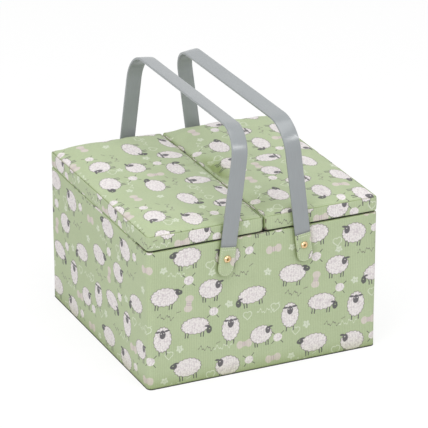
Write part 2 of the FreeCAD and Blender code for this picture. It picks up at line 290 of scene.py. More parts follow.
draw_sheep("standing sheep", body=(17.5, 11.5), head=(18.0, 4.8), head_size=(4.6, 3.4),
           ear=(14.8, 8.4), ear_size=(3.6, 1.3), eye=(18.6, 5.8), leg_gap=9.0, pair_gap=1.7)
draw_sheep("grazing sheep", body=(18.0, 10.5), head=(18.6, -6.6), head_size=(3.6, 4.9),
           ear=(15.6, -1.8), ear_size=(3.2, 1.3), eye=(19.0, -5.6), leg_gap=10.0, pair_gap=1.7)
draw_sheep("looking sheep", body=(15.0, 12.0), head=(9.5, 4.2), head_size=(3.5, 4.8),
           ear=(13.6, 8.0), ear_size=(3.0, 1.3), eye=(10.2, 5.6), leg_gap=7.5, pair_gap=1.6)
draw_sheep("facing sheep", body=(11.4, 16.0), head=(0.0, 6.5), head_size=(3.9, 5.6),
           ear=(5.8, 10.6), ear_size=(3.2, 1.3), eye=(1.7, 8.0), leg_gap=4.6)
print("groups so far:", ", ".join(group.name for group in bpy.data.node_groups))

# %% [markdown]
# Small things fill the spaces between the sheep. They use the same three masks as the sheep, so that
# a ball of wool can share the fleece's ink and a dark thread the outline's. The ball is an oval on
# two crossed needles: taking absolute values draws all four needle ends at once, and the sum and the
# difference of the two directions lie at 45 degrees.

# %% Ball of wool
slant = 0.707
ball_size = (6.2, 5.6)
spoke_half_width, spoke_start, spoke_end = 0.5, 6.4, 11.5

wool, point, masks = new_motif("ball of wool")
ball = filled(wool, oval(wool, point, (0, 0, 0), flat_size(*ball_size)))
x, y, _ = wool.split(wool.vec("ABSOLUTE", point))
needle_off = wool.calc("MULTIPLY", wool.calc("SUBTRACT", x, y), slant)
needle_out = wool.calc("MULTIPLY", wool.calc("ADD", x, y), slant)
spokes = bar(wool, needle_off, needle_out, spoke_half_width, spoke_start, spoke_end)
wool.feed(masks, wool.join(ball, 0.0, filled(wool, spokes)))
print("a ball of wool takes", len(wool.tree.nodes), "nodes")

# %% [markdown]
# A cotton reel is two round cheeks with a narrower waist, and the thread wound on the waist shows as
# fine darker turns.

# %% Cotton reel
cheek_up, cheek_size = 6.2, (5.4, 4.6)
waist_half_width, waist_half_height = 3.4, 3.0
winding, winding_line = 2.6, 0.1

reel, point, masks = new_motif("cotton reel")
x, y, _ = reel.split(point)
folded = reel.join(x, reel.calc("ABSOLUTE", y))
cheeks = filled(reel, oval(reel, folded, (0, cheek_up, 0), flat_size(*cheek_size)))
waist = filled(reel, bar(reel, x, y, waist_half_width, -waist_half_height, waist_half_height))
wound = reel.calc("SINE", reel.calc("MULTIPLY", y, winding))
turns = reel.calc("MULTIPLY", reel.calc("GREATER_THAN", wound, winding_line), waist)
reel.feed(masks, reel.join(reel.calc("MAXIMUM", cheeks, waist), turns, 0.0))
print("a cotton reel takes", len(reel.tree.nodes), "nodes")

# %% [markdown]
# A heart is two round lobes over a square corner that stands on its point. Only its outline is
# printed, in the pale ink.

# %% Heart
lobe_place, lobe_radius = (2.5, 1.8, 0), 3.3
heart_drop, corner_half_size = 0.9, 3.4
heart_line = 1.1

heart, point, masks = new_motif("heart")
x, y, _ = heart.split(point)
side = heart.calc("ABSOLUTE", x)
lobe = oval(heart, heart.join(side, y), lobe_place, flat_size(lobe_radius, lobe_radius))
rise = heart.calc("ABSOLUTE", heart.calc("ADD", y, heart_drop))
corner_below = heart.calc("MULTIPLY_ADD", heart.calc("ADD", side, rise), slant, -corner_half_size)
shape = heart.calc("MINIMUM", lobe, corner_below)
heart.feed(masks, heart.join(0.0, 0.0, drawn(heart, shape, heart_line)))
print("a heart takes", len(heart.tree.nodes), "nodes")

# %% [markdown]
# A flower button is a disc whose edge swells into five petals, with two holes.

# %% Flower button
petals, petal_depth = 5.0, 0.9
button_size = (4.8, 4.2)
hole_across, hole_radius = 1.3, 0.7

button, point, masks = new_motif("button")
x, y, _ = button.split(point)
disc = oval(button, point, (0, 0, 0), flat_size(*button_size))
swell = button.calc("SINE", button.calc("MULTIPLY", button.calc("ARCTAN2", y, x), petals))
disc = button.calc("MULTIPLY_ADD", swell, petal_depth, disc)
folded = button.join(button.calc("ABSOLUTE", x), y)
holes = oval(button, folded, (hole_across, 0, 0), flat_size(hole_radius, hole_radius))
shown = button.calc("SUBTRACT", filled(button, disc), filled(button, holes), clamp=True)
button.feed(masks, button.join(0.0, 0.0, shown))
print("a button takes", len(button.tree.nodes), "nodes")

# %% [markdown]
# A loose thread wanders as the sum of a slow wave and a quick one, and ends in its needle.

# %% Threads
slow_wave, quick_wave = (0.6, 2.2), (1.45, 1.2)
thread_half_width, needle_half_width = 0.75, 0.5
needle_slope, needle_gap, needle_length = 0.5, 1.5, 5.5


def draw_thread(name, half_length, pale):
    """A loose thread, in the outline's ink or in the pale one."""
    recipe, point, masks = new_motif(name)
    x, y, _ = recipe.split(point)

    def wave(turns, height):
        return recipe.calc("MULTIPLY", recipe.calc("SINE", recipe.calc("MULTIPLY", x, turns)), height)

    off = recipe.calc("SUBTRACT", y, recipe.calc("ADD", wave(*slow_wave), wave(*quick_wave)))
    line = bar(recipe, off, x, thread_half_width, -half_length, half_length)
    beside = recipe.calc("SUBTRACT", y, recipe.calc("MULTIPLY", x, needle_slope))
    eye_end = half_length + needle_gap
    needle = bar(recipe, beside, x, needle_half_width, eye_end, eye_end + needle_length)
    mask = filled(recipe, recipe.calc("MINIMUM", line, needle))
    recipe.feed(masks, recipe.join(0.0, *((0.0, mask) if pale else (mask, 0.0))))


draw_thread("dark thread", 11.0, False)
draw_thread("pale thread", 12.0, True)
print("motifs to choose from:", len(bpy.data.node_groups) - 1)

# %% [markdown]
# The layout is set out as a print designer would: sheep first, spread evenly so that rows
# do not line up, then small things in the gaps. Each entry is a motif, its centre in millimetres,
# its turn in degrees, the way it faces, and its size.

# %% The layout of the repeat
flock = [
    ("standing sheep", 25, 118, 6, 1, 1.0),
    ("looking sheep", 84, 118, 3, 1, 1.0),
    ("grazing sheep", 138, 100, -6, -1, 1.0),
    ("facing sheep", 22, 64, 0, 1, 1.0),
    ("grazing sheep", 64, 74, 5, 1, 1.0),
    ("facing sheep", 110, 62, 2, 1, 1.0),
    ("looking sheep", 150, 46, -3, 1, 0.95),
    ("standing sheep", 54, 22, -2, -1, 1.0),
    ("looking sheep", 106, 14, 6, -1, 1.05),
    ("ball of wool", 56, 134, 0, 1, 1.0),
    ("ball of wool", 88, 88, 8, 1, 0.95),
    ("ball of wool", 6, 38, 4, 1, 0.95),
    ("ball of wool", 134, 16, -6, 1, 0.9),
    ("dark thread", 26, 92, 14, 1, 1.0),
    ("dark thread", 122, 130, -5, 1, 1.0),
    ("dark thread", 78, 42, 10, 1, 0.95),
]
notions = [
    ("cotton reel", 56, 104, 8, 1, 1.0),
    ("cotton reel", 128, 38, 88, 1, 0.95),
    ("cotton reel", 0, 12, 84, 1, 0.95),
    ("heart", 2, 78, 12, 1, 1.0),
    ("heart", 84, 6, -8, 1, 1.0),
    ("heart", 132, 74, 0, 1, 0.95),
    ("heart", 30, 42, 5, 1, 0.9),
    ("button", 108, 94, 20, 1, 0.95),
    ("button", 44, 48, 70, 1, 0.95),
    ("button", 158, 126, 40, 1, 0.95),
    ("button", 24, 10, 0, 1, 0.9),
    ("button", 86, 138, 0, 1, 0.9),
    ("pale thread", 100, 40, -4, 1, 1.0),
    ("pale thread", 156, 76, 3, 1, 0.95),
    ("pale thread", 40, 2, 4, 1, 0.9),
]


def print_masks(recipe, cloth, layout):
    """All the motifs of a layout, joined by taking the larger mask."""
    together = None
    for name, x, y, turn, facing, size in layout:
        spot = recipe.node("ShaderNodeGroup", node_tree=bpy.data.node_groups["placed in the repeat"])
        given = {"Cloth": cloth, "Centre": (x, y, 0), "Turn": math.radians(turn),
                 "Facing": float(facing), "Size": size}
        for socket, value in given.items():
            recipe.feed(spot.inputs[socket], value)
        motif = recipe.node("ShaderNodeGroup", node_tree=bpy.data.node_groups[name])
        recipe.feed(motif.inputs["Point"], spot.outputs["Point"])
        masks = motif.outputs["Masks"]
        together = masks if together is None else recipe.vec("MAXIMUM", together, masks)
    return together


print("motifs in one repeat:", len(flock) + len(notions))

# %% [markdown]
# ## Cloth
# Cotton is matt, with a fine weave that catches light and a soft fuzz at grazing angles. The weave
# is two sets of ribs at right angles. The warp ribs show more, as they do on this cloth, so they
# also tint the colour. The fuzz is sheen, set on the shader itself because it is the same all over.

# %% Weave and cloth shader
warp_pitch = 2.3
weft_pitch = 0.9
weft_share = 0.45
bump_share = 0.6
millimetres = (1000.0,) * 3


def new_material(name):
    material = bpy.data.materials.new(name)
    material.use_nodes = True
    material.node_tree.nodes.clear()
    return material, Recipe(material.node_tree)


def finish_material(recipe, colour, roughness, height, depth, **shader_settings):
    """Joins colour, roughness and relief in one shader. depth is the relief's height in metres."""
    bump = recipe.node("ShaderNodeBump", {"Height": height, "Distance": depth, "Strength": bump_share})
    inputs = {"Base Color": colour, "Roughness": roughness, "Normal": bump.outputs[0]}
    shader = recipe.node("ShaderNodeBsdfPrincipled", inputs)
    for name, value in shader_settings.items():
        shader.inputs[name.replace("_", " ")].default_value = value
    recipe.node("ShaderNodeOutputMaterial", {0: shader.outputs[0]})


def ribs(recipe, distance, pitch):
    """Rounded ribs, 0 in the grooves and 1 on the crests."""
    turned_by = recipe.calc("MULTIPLY", distance, 2 * math.pi / pitch)
    return recipe.calc("MULTIPLY_ADD", recipe.calc("SINE", turned_by), 0.5, 0.5)


def woven(recipe, cloth):
    """(height, warp share) of a plain weave at a point of the cloth in millimetres."""
    wander = recipe.calc("MULTIPLY", recipe.noise(cloth, 0.08, 3.0), 1.2)
    across, along, _ = recipe.split(cloth)
    warp = ribs(recipe, recipe.calc("ADD", across, wander), warp_pitch)
    weft = ribs(recipe, recipe.calc("ADD", along, wander), weft_pitch)
    return recipe.calc("MULTIPLY_ADD", weft, weft_share, warp), warp


def cloth_point(recipe):
    """The point of the cloth, in millimetres, from the piece's own flat cloth map."""
    mapped = recipe.node("ShaderNodeUVMap", uv_map="cloth").outputs[0]
    return recipe.vec("MULTIPLY", mapped, millimetres)


def solid_point(recipe):
    """The point in the piece itself, in millimetres."""
    place = recipe.node("ShaderNodeTexCoord").outputs["Object"]
    return recipe.vec("MULTIPLY", place, millimetres)


for name, pitch in (("warp", warp_pitch), ("weft", weft_pitch)):
    print(name, "ribs to the centimetre:", round(10 / pitch, 1))

# %% [markdown]
# The printed cotton lays its inks on the green ground one after the other: pale tints, pink wool,
# the fleece with its mottled curls, the grey outline, then the dark heads and legs. Inks soak in,
# so the ribs of the weave still show through all of them. In folds and beside seams the colour is
# darkened with painted shade: the closer other cloth is round a spot, the more it is darkened, and
# the tops carry a value of their own that paints shade into their dents.

# %% Printed cotton
# Painted shade in folds: how far it looks for nearby cloth, and the tint it darkens with.
fold_reach = 22 * mm
fold_shade_tint = linear(200, 208, 166)
ground_greens = linear(176, 190, 151), linear(188, 201, 164)
pale_ink = linear(222, 228, 212)
pink_ink = linear(221, 208, 205)
strand_ink = linear(183, 160, 172)
fleece_inks = linear(240, 235, 233), linear(209, 199, 202)
outline_ink = linear(112, 107, 106)
face_ink = linear(88, 86, 90)


def printed_cotton():
    material, recipe = new_material("printed cotton")
    cloth = cloth_point(recipe)
    wobble = recipe.node("ShaderNodeTexNoise", {"Vector": cloth, "Scale": 0.35, "Detail": 1.0})
    shift = recipe.vec("MULTIPLY", recipe.vec("SUBTRACT", wobble.outputs["Color"], (0.5,) * 3),
                       (1.1, 1.1, 0.0))
    inked = recipe.vec("ADD", cloth, shift)
    fleece, edge, dark = recipe.split(print_masks(recipe, inked, flock))
    pink, strand, pale = recipe.split(print_masks(recipe, inked, notions))
    height, warp = woven(recipe, cloth)
    patchy = recipe.noise(cloth, 0.03, 3.0)
    curl = recipe.node("ShaderNodeTexVoronoi", {"Vector": inked, "Scale": 0.5}).outputs["Distance"]
    wool_colour = recipe.mix(recipe.rescale(curl, 0.3, 1.0), *fleece_inks)
    colour = recipe.mix(patchy, *ground_greens)
    for mask, strength, ink in ((pale, 0.75, pale_ink), (pink, 0.8, pink_ink),
                                (strand, 0.55, strand_ink), (fleece, 1.0, wool_colour),
                                (edge, 0.75, outline_ink), (dark, 0.93, face_ink)):
        colour = recipe.mix(recipe.calc("MULTIPLY", mask, strength), colour, ink)
    uneven = recipe.rescale(recipe.noise(recipe.vec("MULTIPLY", cloth, (1.0, 0.12, 1.0)), 0.3, 3.0),
                            0.35, 0.65, 0.03, 0.17)
    heather = recipe.rescale(recipe.noise(cloth, 0.45, 4.0), 0.3, 0.7, 0.95, 1.03)
    shade = recipe.calc("MULTIPLY_ADD", recipe.calc("SUBTRACT", warp, 0.5), uneven, heather)
    colour = recipe.tinted(colour, shade)
    # Painted shade: the colour is darkened where other cloth is close round a spot, in folds and beside
    # seams, and where a top's dents carry their own painted-shade value.
    occlusion = recipe.node("ShaderNodeAmbientOcclusion", {"Distance": fold_reach}, samples=6)
    occluded_shade = recipe.rescale(occlusion.outputs["AO"], 0.3, 0.92, 1.0, 0.0)
    dent_shade = recipe.node("ShaderNodeAttribute", attribute_name="dent_shade").outputs["Fac"]
    folded = recipe.calc("MAXIMUM", occluded_shade, dent_shade)
    shaded_colour = recipe.mix(1.0, colour, fold_shade_tint, "MULTIPLY")
    colour = recipe.mix(folded, colour, shaded_colour)
    finish_material(recipe, colour, 0.88, height, 0.12 * mm, Sheen_Weight=0.12, Sheen_Roughness=0.5)
    return material


cotton = printed_cotton()
print("the printed cotton takes", len(cotton.node_tree.nodes), "nodes")

# %% [markdown]
# ## The studio
# A pale floor and soft light, as for a catalogue. The floor shows white to the camera and still
# darkens where the box shades it: part of its white is light of its own, and the rest is what falls
# on it. The world is white to the camera and a softer grey as a light.

# %% Floor, world and lamps
floor_glow = 0.78
floor_shine = 0.24
floor_half_size = 30.0
floor_as_light = 0.75
world_as_light = 0.62
full_white = (1, 1, 1, 1)


def camera_sees(recipe):
    """1 for what the camera sees straight, in a gloss or through glass, 0 for other light."""
    path = recipe.node("ShaderNodeLightPath").outputs
    seen = recipe.calc("MAXIMUM", path["Is Camera Ray"], path["Is Glossy Ray"])
    return recipe.calc("MAXIMUM", seen, path["Is Transmission Ray"])


def make_floor():
    material, recipe = new_material("studio floor")
    speckle = recipe.noise(recipe.node("ShaderNodeTexCoord").outputs["Object"], 40.0)
    grey = recipe.rescale(speckle, 0.0, 1.0, floor_shine, floor_shine * 1.02)
    seen = recipe.node("ShaderNodeBsdfDiffuse", {"Color": recipe.join(grey, grey, grey)})
    glow = recipe.node("ShaderNodeEmission", {"Color": full_white, "Strength": floor_glow})
    both = recipe.node("ShaderNodeAddShader", {0: seen.outputs[0], 1: glow.outputs[0]})
    plain = recipe.node("ShaderNodeBsdfDiffuse", {"Color": (*(floor_as_light,) * 3, 1)})
    shaders = {0: camera_sees(recipe), 1: plain.outputs[0], 2: both.outputs[0]}
    choice = recipe.node("ShaderNodeMixShader", shaders)
    recipe.node("ShaderNodeOutputMaterial", {0: choice.outputs[0]})
    size = floor_half_size
    mesh = bpy.data.meshes.new("floor")
    corners = [(-size, -size, 0), (size, -size, 0), (size, size, 0), (-size, size, 0)]
    mesh.from_pydata(corners, [], [(0, 1, 2, 3)])
    mesh.materials.append(material)
    floor = bpy.data.objects.new("floor", mesh)
    bpy.context.scene.collection.objects.link(floor)


def make_world():
    world = bpy.data.worlds.new("studio")
    world.use_nodes = True
    world.node_tree.nodes.clear()
    recipe = Recipe(world.node_tree)
    strength = recipe.rescale(camera_sees(recipe), 0.0, 1.0, world_as_light, 1.0)
    background = recipe.node("ShaderNodeBackground", {"Color": full_white, "Strength": strength})
    recipe.node("ShaderNodeOutputWorld", {0: background.outputs[0]})
    bpy.context.scene.world = world


def add_lamp(name, place, target_height, size, power):
    """A soft square lamp that points at a height above the middle of the box's foot."""
    lamp = bpy.data.lights.new(name, "AREA")
    lamp.size = size
    lamp.energy = power
    lamp_object = bpy.data.objects.new(name, lamp)
    lamp_object.location = place
    aim = Vector((0, 0, target_height)) - Vector(place)
    lamp_object.rotation_euler = aim.to_track_quat("-Z", "Y").to_euler()
    bpy.context.scene.collection.objects.link(lamp_object)


make_floor()
make_world()
add_lamp("overhead", (-0.2, -0.5, 2.4), 0.15, size=2.2, power=24)
add_lamp("front left", (-2.3, -1.6, 1.4), 0.15, size=1.6, power=20)
add_lamp("front right", (1.2, -2.45, 1.6), 0.2, size=0.6, power=9)
print("lamps in watts:", {lamp.name: round(lamp.energy, 1) for lamp in bpy.data.lights})

# %% [markdown]
# ## Cloth that wraps a box
# Every covered part of the box has the same plan, a rectangle with rounded corners. A cover is
# built as rings of that plan, one above the other, as cloth lies round the board. Each ring is drawn
# in or let out to make folds and rolled edges. The flat cloth map is the distance round the plan and
# the distance along the fold, so the print keeps its real size and never stretches.

# %% Rings
def plan_ring(plan, inset, per_corner, per_side):
    """Points round a rounded rectangle drawn in by inset, anticlockwise from the back left."""
    (x0, y0), (x1, y1), (front_left, front_right, back_right, back_left) = plan
    x0, y0, x1, y1 = x0 + inset, y0 + inset, x1 - inset, y1 - inset
    corners = [(x0, y1, 90), (x0, y0, 180), (x1, y0, 270), (x1, y1, 0)]
    radii = (back_left, front_left, front_right, back_right)
    ring = []
    for i, (x, y, start) in enumerate(corners):
        radius = max(radii[i] - inset, 0.0)
        centre = Vector((x + radius * (1 if x == x0 else -1), y + radius * (1 if y == y0 else -1)))
        for k in range(per_corner + 1):
            angle = math.radians(start + 90 * k / per_corner)
            ring.append(centre + radius * Vector((math.cos(angle), math.sin(angle))))
        next_x, next_y, _ = corners[(i + 1) % 4]
        next_radius = max(radii[(i + 1) % 4] - inset, 0.0)
        along = Vector((next_x - x, next_y - y)).normalized()
        side_start = ring[-1].copy()
        side_end = Vector((next_x, next_y)) - along * next_radius
        count = per_side[(i + 1) % 2]
        ring += [side_start.lerp(side_end, k / count) for k in range(1, count)]
    return ring


def ring_stations(ring):
    """The distance round the ring to each point, and all the way round at the end."""
    stations = [0.0]
    for i, point in enumerate(ring):
        stations.append(stations[-1] + (ring[(i + 1) % len(ring)] - point).length)
    return stations


def placed(profile, height):
    """A profile in millimetres, (inset, height), set on a height: (inset, z) in metres."""
    return [(inset * mm, height + up * mm) for inset, up in profile]


def profile_rises(profile):
    """The distance along a fold, from a list of (inset, height)."""
    rises = [0.0]
    for (inset_a, z_a), (inset_b, z_b) in zip(profile, profile[1:]):
        rises.append(rises[-1] + math.hypot(inset_b - inset_a, z_b - z_a))
    return rises


unit_plan = ((0, 0), (1, 1), (0.1,) * 4)
print("a ring with corners of 2 steps has", len(plan_ring(unit_plan, 0, 2, (1, 1))), "points")

# %% [markdown]
# Each piece is a mesh in one finish, and its faces join rings or fill a grid. Its cloth map is flat
# and in metres, like the pattern that the real piece would be cut from. Thickness and softness are
# added to the finished sheet.

# %% Pieces
def ring_faces(levels, around):
    """Faces that join closed rings, one above the other, of the same number of points."""
    faces = []
    for i in range(levels - 1):
        for j in range(around):
            k = (j + 1) % around
            faces.append((i * around + j, i * around + k, (i + 1) * around + k, (i + 1) * around + j))
    return faces


def grid_faces(first, columns, rows):
    """Faces of a grid whose points are counted along each row, from the point called first."""
    wide = columns + 1
    starts = [first + j * wide + i for j in range(rows) for i in range(columns)]
    return [(a, a + 1, a + 1 + wide, a + wide) for a in starts]


def loft(rings, stations, rises, closed=True):
    """Vertices, faces and cloth-map corners of a sheet through rings of the same number of points."""
    around = len(rings[0])
    vertices = [point for ring in rings for point in ring]
    faces, corners = [], []
    for i in range(len(rings) - 1):
        for j in range(around if closed else around - 1):
            k = (j + 1) % around
            low, high = i * around, (i + 1) * around
            faces.append((low + j, low + k, high + k, high + j))
            corners.append([(stations[j], rises[i]), (stations[j + 1], rises[i]),
                            (stations[j + 1], rises[i + 1]), (stations[j], rises[i + 1])])
    return vertices, faces, corners


def add_piece(name, vertices, faces, corners, material, body):
    """A mesh object with a flat cloth map from its faces' corners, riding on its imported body."""
    mesh = bpy.data.meshes.new(name)
    mesh.from_pydata([tuple(v) for v in vertices], [], faces)
    mesh.materials.append(material)
    if corners is not None:
        layer = mesh.uv_layers.new(name="cloth")
        flat = [corner for face in corners for corner in face]
        for loop, corner in zip(layer.data, flat):
            loop.uv = corner
    mesh.polygons.foreach_set("use_smooth", [True] * len(mesh.polygons))
    piece = bpy.data.objects.new(name, mesh)
    bpy.context.scene.collection.objects.link(piece)
    if body is not None:
        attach(piece, body)
    return piece


def thicken(piece, thickness):
    modifier = piece.modifiers.new("cloth thickness", "SOLIDIFY")
    modifier.thickness = thickness
    modifier.offset = -1.0


def soften(piece):
    """One round of subdivision, which rounds the edges between faces."""
    modifier = piece.modifiers.new("smooth", "SUBSURF")
    modifier.levels = modifier.render_levels = 1


def ripple(place, size, height):
    """A smooth bump or hollow of the cloth at a place, the same on every run."""
    return noise.noise(Vector(place) / size) * height


print("a grid of 2 by 3 has", len(grid_faces(0, 2, 3)), "faces")

# %% [markdown]
# ## The body's cover
# One length of cotton goes round the four walls. It is folded under the base, rolled over the rim,
# and glued, so it lies close but never quite flat: it drums a little between the edges. The heights
# below the rim are even, and the folds at both ends have their own close rings.

# %% Body cover
cover_low, cover_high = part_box("outer_cover")
corner_radius = 6 * mm
body_plan = ((cover_low.x, cover_low.y), (cover_high.x, cover_high.y), (corner_radius,) * 4)
cover_thickness = 0.6 * mm
corner_steps = 6
wall_steps, wall_levels = 44, 26
wall_ends, calm_height = 4.2 * mm, 30 * mm
drum_size, drum_height, drum_sink = 0.07, 0.35 * mm, 0.1 * mm
foot_fold = [(2.6, 0.0), (1.2, 0.0), (0.45, 0.25), (0.05, 1.0), (0.0, 2.2)]
rim_fold = [(0.0, -2.4), (0.1, -1.6), (0.45, -0.9), (1.0, -0.5), (1.9, -0.3), (3.2, -0.35), (3.75, -0.9)]


def edge_fade(value, low, high, width):
    """0 at both ends of a stretch and 1 in from them."""
    inside = min(value - low, high - value)
    return max(0.0, min(1.0, inside / width))


def outward(point, plan):
    """The way out of a plan at one of its points."""
    (x0, y0), (x1, y1), radii = plan
    margin = max(radii)
    core = Vector((min(max(point.x, x0 + margin), x1 - margin),
                   min(max(point.y, y0 + margin), y1 - margin)))
    away = Vector(point) - core
    return away.normalized() if away.length > 1e-9 else Vector((0, 0))


def make_body_cover():
    foot, rim = cover_low.z, cover_high.z
    start = foot + foot_fold[-1][1] * mm
    height = rim - foot - wall_ends
    wall = [(0.0, start + height * k / wall_levels) for k in range(1, wall_levels)]
    profile = placed(foot_fold, foot) + wall + placed(rim_fold, rim)
    counts = (wall_steps, wall_steps)
    rings = []
    for inset, z in profile:
        calm = edge_fade(z, foot, rim, calm_height)
        ring = []
        for point in plan_ring(body_plan, inset, corner_steps, counts):
            drum = calm * (ripple((point.x, point.y, z), drum_size, drum_height) - drum_sink)
            ring.append((*(point + outward(point, body_plan) * drum), z))
        rings.append(ring)
    stations = ring_stations(plan_ring(body_plan, 0.0, corner_steps, counts))
    left_side = stations[corner_steps + wall_steps]
    shifted = [station - left_side for station in stations]
    rises = profile_rises(profile)
    vertices, faces, corners = loft(rings, shifted, rises)
    cover = add_piece("body_cover", vertices, faces, corners, cotton, "box")
    thicken(cover, cover_thickness)
    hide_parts("outer_cover")
    print("body cover cut in metres", round(stations[-1], 3), "by", round(rises[-1], 3))


make_body_cover()

# %% [markdown]
# ## The lids' bands
# Each lid is a shallow frame with the same cotton round its edge. The band is turned under at the
# bottom. At the top it folds over the board and dips inside, which leaves a thin lip. The padded
# top is glued into that dip, so a fine dark line runs inside the lip all round.

# %% Lid bands
split_radius = 5 * mm
lid_radii = {"left": (corner_radius, split_radius, split_radius, corner_radius),
             "right": (split_radius, corner_radius, corner_radius, split_radius)}
side_steps = (40, 76)
seam_dip = 1.6 * mm
corner_lift, corner_reach = 3.2 * mm, 8 * mm
band_start = {"left": 0.08, "right": 0.55}
band_rise = 0.031
under_fold = [(3.7, 0.4), (1.9, 0.3), (1.0, 0.5), (0.4, 1.0), (0.08, 1.8), (0.0, 3.0)]
band_middle = [(-0.15, -3.0), (-0.2, 0.0), (-0.15, 3.0)]
lip = [(0.0, -2.4), (0.02, -0.9), (0.15, -0.1), (0.5, 0.35), (0.95, 0.3), (1.3, -0.4),
       (1.45, -seam_dip / mm)]

lid_sides = {}
for side in ("left", "right"):
    low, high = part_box(side + "_lid_cover")
    lid_sides[side] = {"plan": ((low.x, low.y), (high.x, high.y), lid_radii[side]),
                       "bottom": low.z, "seam": high.z,
                       "top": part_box(side + "_lid_pad")[1].z}


def make_lid_band(side):
    lid = lid_sides[side]
    bottom, seam = lid["bottom"], lid["seam"]
    profile = placed(under_fold, bottom) + placed(band_middle, (bottom + seam) / 2) + placed(lip, seam)
    rings = []
    for inset, z in profile:
        calm = edge_fade(z, bottom, seam, 6 * mm)
        low = max(0.0, 1 - (z - bottom) / corner_reach)
        ring = []
        for point in plan_ring(lid["plan"], inset, corner_steps, side_steps):
            drum = calm * ripple((point.x, point.y, z * 2), 0.03, 0.3 * mm)
            split = max(0.0, 1 - abs(point.x) / corner_reach)
            end = 1.0 if abs(point.y) > lid["plan"][1][1] - 4 * mm else 0.0
            lift = corner_lift * low * split * split * end
            ring.append((*(point + outward(point, lid["plan"]) * drum), z + lift))
        rings.append(ring)
    stations = ring_stations(plan_ring(lid["plan"], 0.0, corner_steps, side_steps))
    left_side = stations[corner_steps + side_steps[1]]
    shifted = [band_start[side] + station - left_side for station in stations]
    rises = [band_rise + rise for rise in profile_rises(profile)]
    vertices, faces, corners = loft(rings, shifted, rises)
    band = add_piece(side + "_lid_band", vertices, faces, corners, cotton, side + "_lid")
    thicken(band, cover_thickness)
    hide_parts(side + "_lid_cover")
    print(side, "band cut", round(stations[-1], 3), "by", round(rises[-1] - rises[0], 3))


for side in lid_sides:
    make_lid_band(side)

# %% [markdown]
# ## The padded tops
# A sheet of wadding lies under the cotton, so each top rises from its seam in a rolled edge to a
# nearly level middle, and stands a little fuller along its back. The edge is rings again. The middle
# is a grid that meets the last ring.

# %% Shape of a padded top
roll_width = 9 * mm
top_start = 3.3 * mm
steep_run, gentle_run = 2.6 * mm, 17 * mm
back_fullness, back_reach = 5.0 * mm, 62 * mm
steep_share = 0.52
seam_step = 0.2 * mm
least_distance = 0.1 * mm


def side_distance(point, plan):
    """The distance in from the sides, rounded off where two sides are near."""
    (x0, y0), (x1, y1), _ = plan
    away_x = max(min(point.x - x0, x1 - point.x), least_distance)
    away_y = max(min(point.y - y0, y1 - point.y), least_distance)
    return (away_x ** -3 + away_y ** -3) ** (-1 / 3)


def pad_level(point, lid):
    """The height of the padded top: steep just inside the seam, then easing to the middle."""
    rise = lid["top"] - lid["seam"] - 2 * seam_step
    inside = max(0.0, side_distance(point, lid["plan"]) - top_start)
    steep = steep_share * (1 - math.exp(-inside / steep_run))
    share = steep + (1 - steep_share) * (1 - math.exp(-inside / gentle_run))
    (x0, _), (x1, y1), _ = lid["plan"]
    across = max(0.0, min(1.0, (point.x - x0) / (x1 - x0)))
    fuller = math.sin(math.pi * across) ** 0.7 * math.exp(-((y1 - point.y) / back_reach) ** 2)
    return lid["seam"] + seam_step + (rise + back_fullness * fuller) * share


def edge_distance(point, plan):
    """The distance in from the nearest side."""
    (x0, y0), (x1, y1), _ = plan
    return min(point.x - x0, x1 - point.x, point.y - y0, y1 - point.y)


lid_middle = Vector((sum(x for x, _ in lid_sides["left"]["plan"][:2]) / 2, 0))
rise = pad_level(lid_middle, lid_sides["left"]) - lid_sides["left"]["seam"]
print("the left top rises", round(rise / mm, 1), "mm above its seam in the middle")

# %% [markdown]
# The cotton is never quite even. The wadding has thick and thin places, it swells a little over the
# seam, and the cloth keeps a few tucks: the deepest is beside the split, where fingers lift the lid.

# %% Swells and tucks
half_width = cad_box[1][0]
split_bulge, end_bulge, bulge_fade = 2.2 * mm, 0.3 * mm, 25 * mm
hinge_bulge = {"left": 1.2 * mm, "right": 2.1 * mm}
front_bulge_share, bulge_grows = 0.45, 60 * mm
swells = [(3.0, 0.06, 0.9 * mm), (9.0, 0.024, 0.45 * mm)]
pucker_size, pucker_height, pucker_reach = 0.014, 0.9 * mm, 22 * mm


def hollow(point, centre, size, depth):
    """A soft dip in the padding."""
    away = Vector(((point.x - centre[0]) / size[0], (point.y - centre[1]) / size[1]))
    return -depth * math.exp(-away.length_squared)


def dent(point, centre, size, edge):
    """1 in the floor of an oval dent and 0 outside it, with a soft wall."""
    away = Vector(((point.x - centre[0]) / size[0], (point.y - centre[1]) / size[1]))
    share = max(0.0, min(1.0, (1 - away.length) / edge))
    return share * share * (3 - 2 * share)


def crease(point, start, end, width, depth):
    """A narrow fold from start to end that fades at both ends."""
    start, end = Vector(start), Vector(end)
    along = end - start
    share = max(0.0, min(1.0, (point - start).dot(along) / along.length_squared))
    off = (point - (start + along * share)).length / width
    return -depth * math.exp(-off * off) * math.sin(math.pi * (0.15 + 0.7 * share))


def padding_height(point, plan):
    """How far the wadding lifts or sinks the top from level, in metres."""
    height = sum(ripple((point.x, point.y, start), size, tall) for start, size, tall in swells)
    near_edge = math.exp(-max(0.0, edge_distance(point, plan)) / pucker_reach)
    return height + near_edge * ripple((point.x, point.y, 12.0), pucker_size, pucker_height)


def over_the_seam(point, side):
    """The cotton bulges out over the seam: most at the split and the hinge, less at the ends."""
    hand = -1 if side == "left" else 1
    (_, y0), (_, y1), _ = lid_sides[side]["plan"]
    to_split = max(0.0, 1 - abs(point.x) / bulge_fade)
    to_hinge = max(0.0, 1 - (half_width - abs(point.x)) / bulge_fade)
    to_front = max(0.0, 1 - (point.y - y0) / bulge_fade)
    to_back = max(0.0, 1 - (y1 - point.y) / bulge_fade)
    split_reach = split_bulge * max(front_bulge_share, min(1.0, (point.y - y0) / bulge_grows))
    across = hinge_bulge[side] * to_hinge - split_reach * to_split
    return Vector((point.x + hand * across, point.y + end_bulge * (to_back - to_front)))


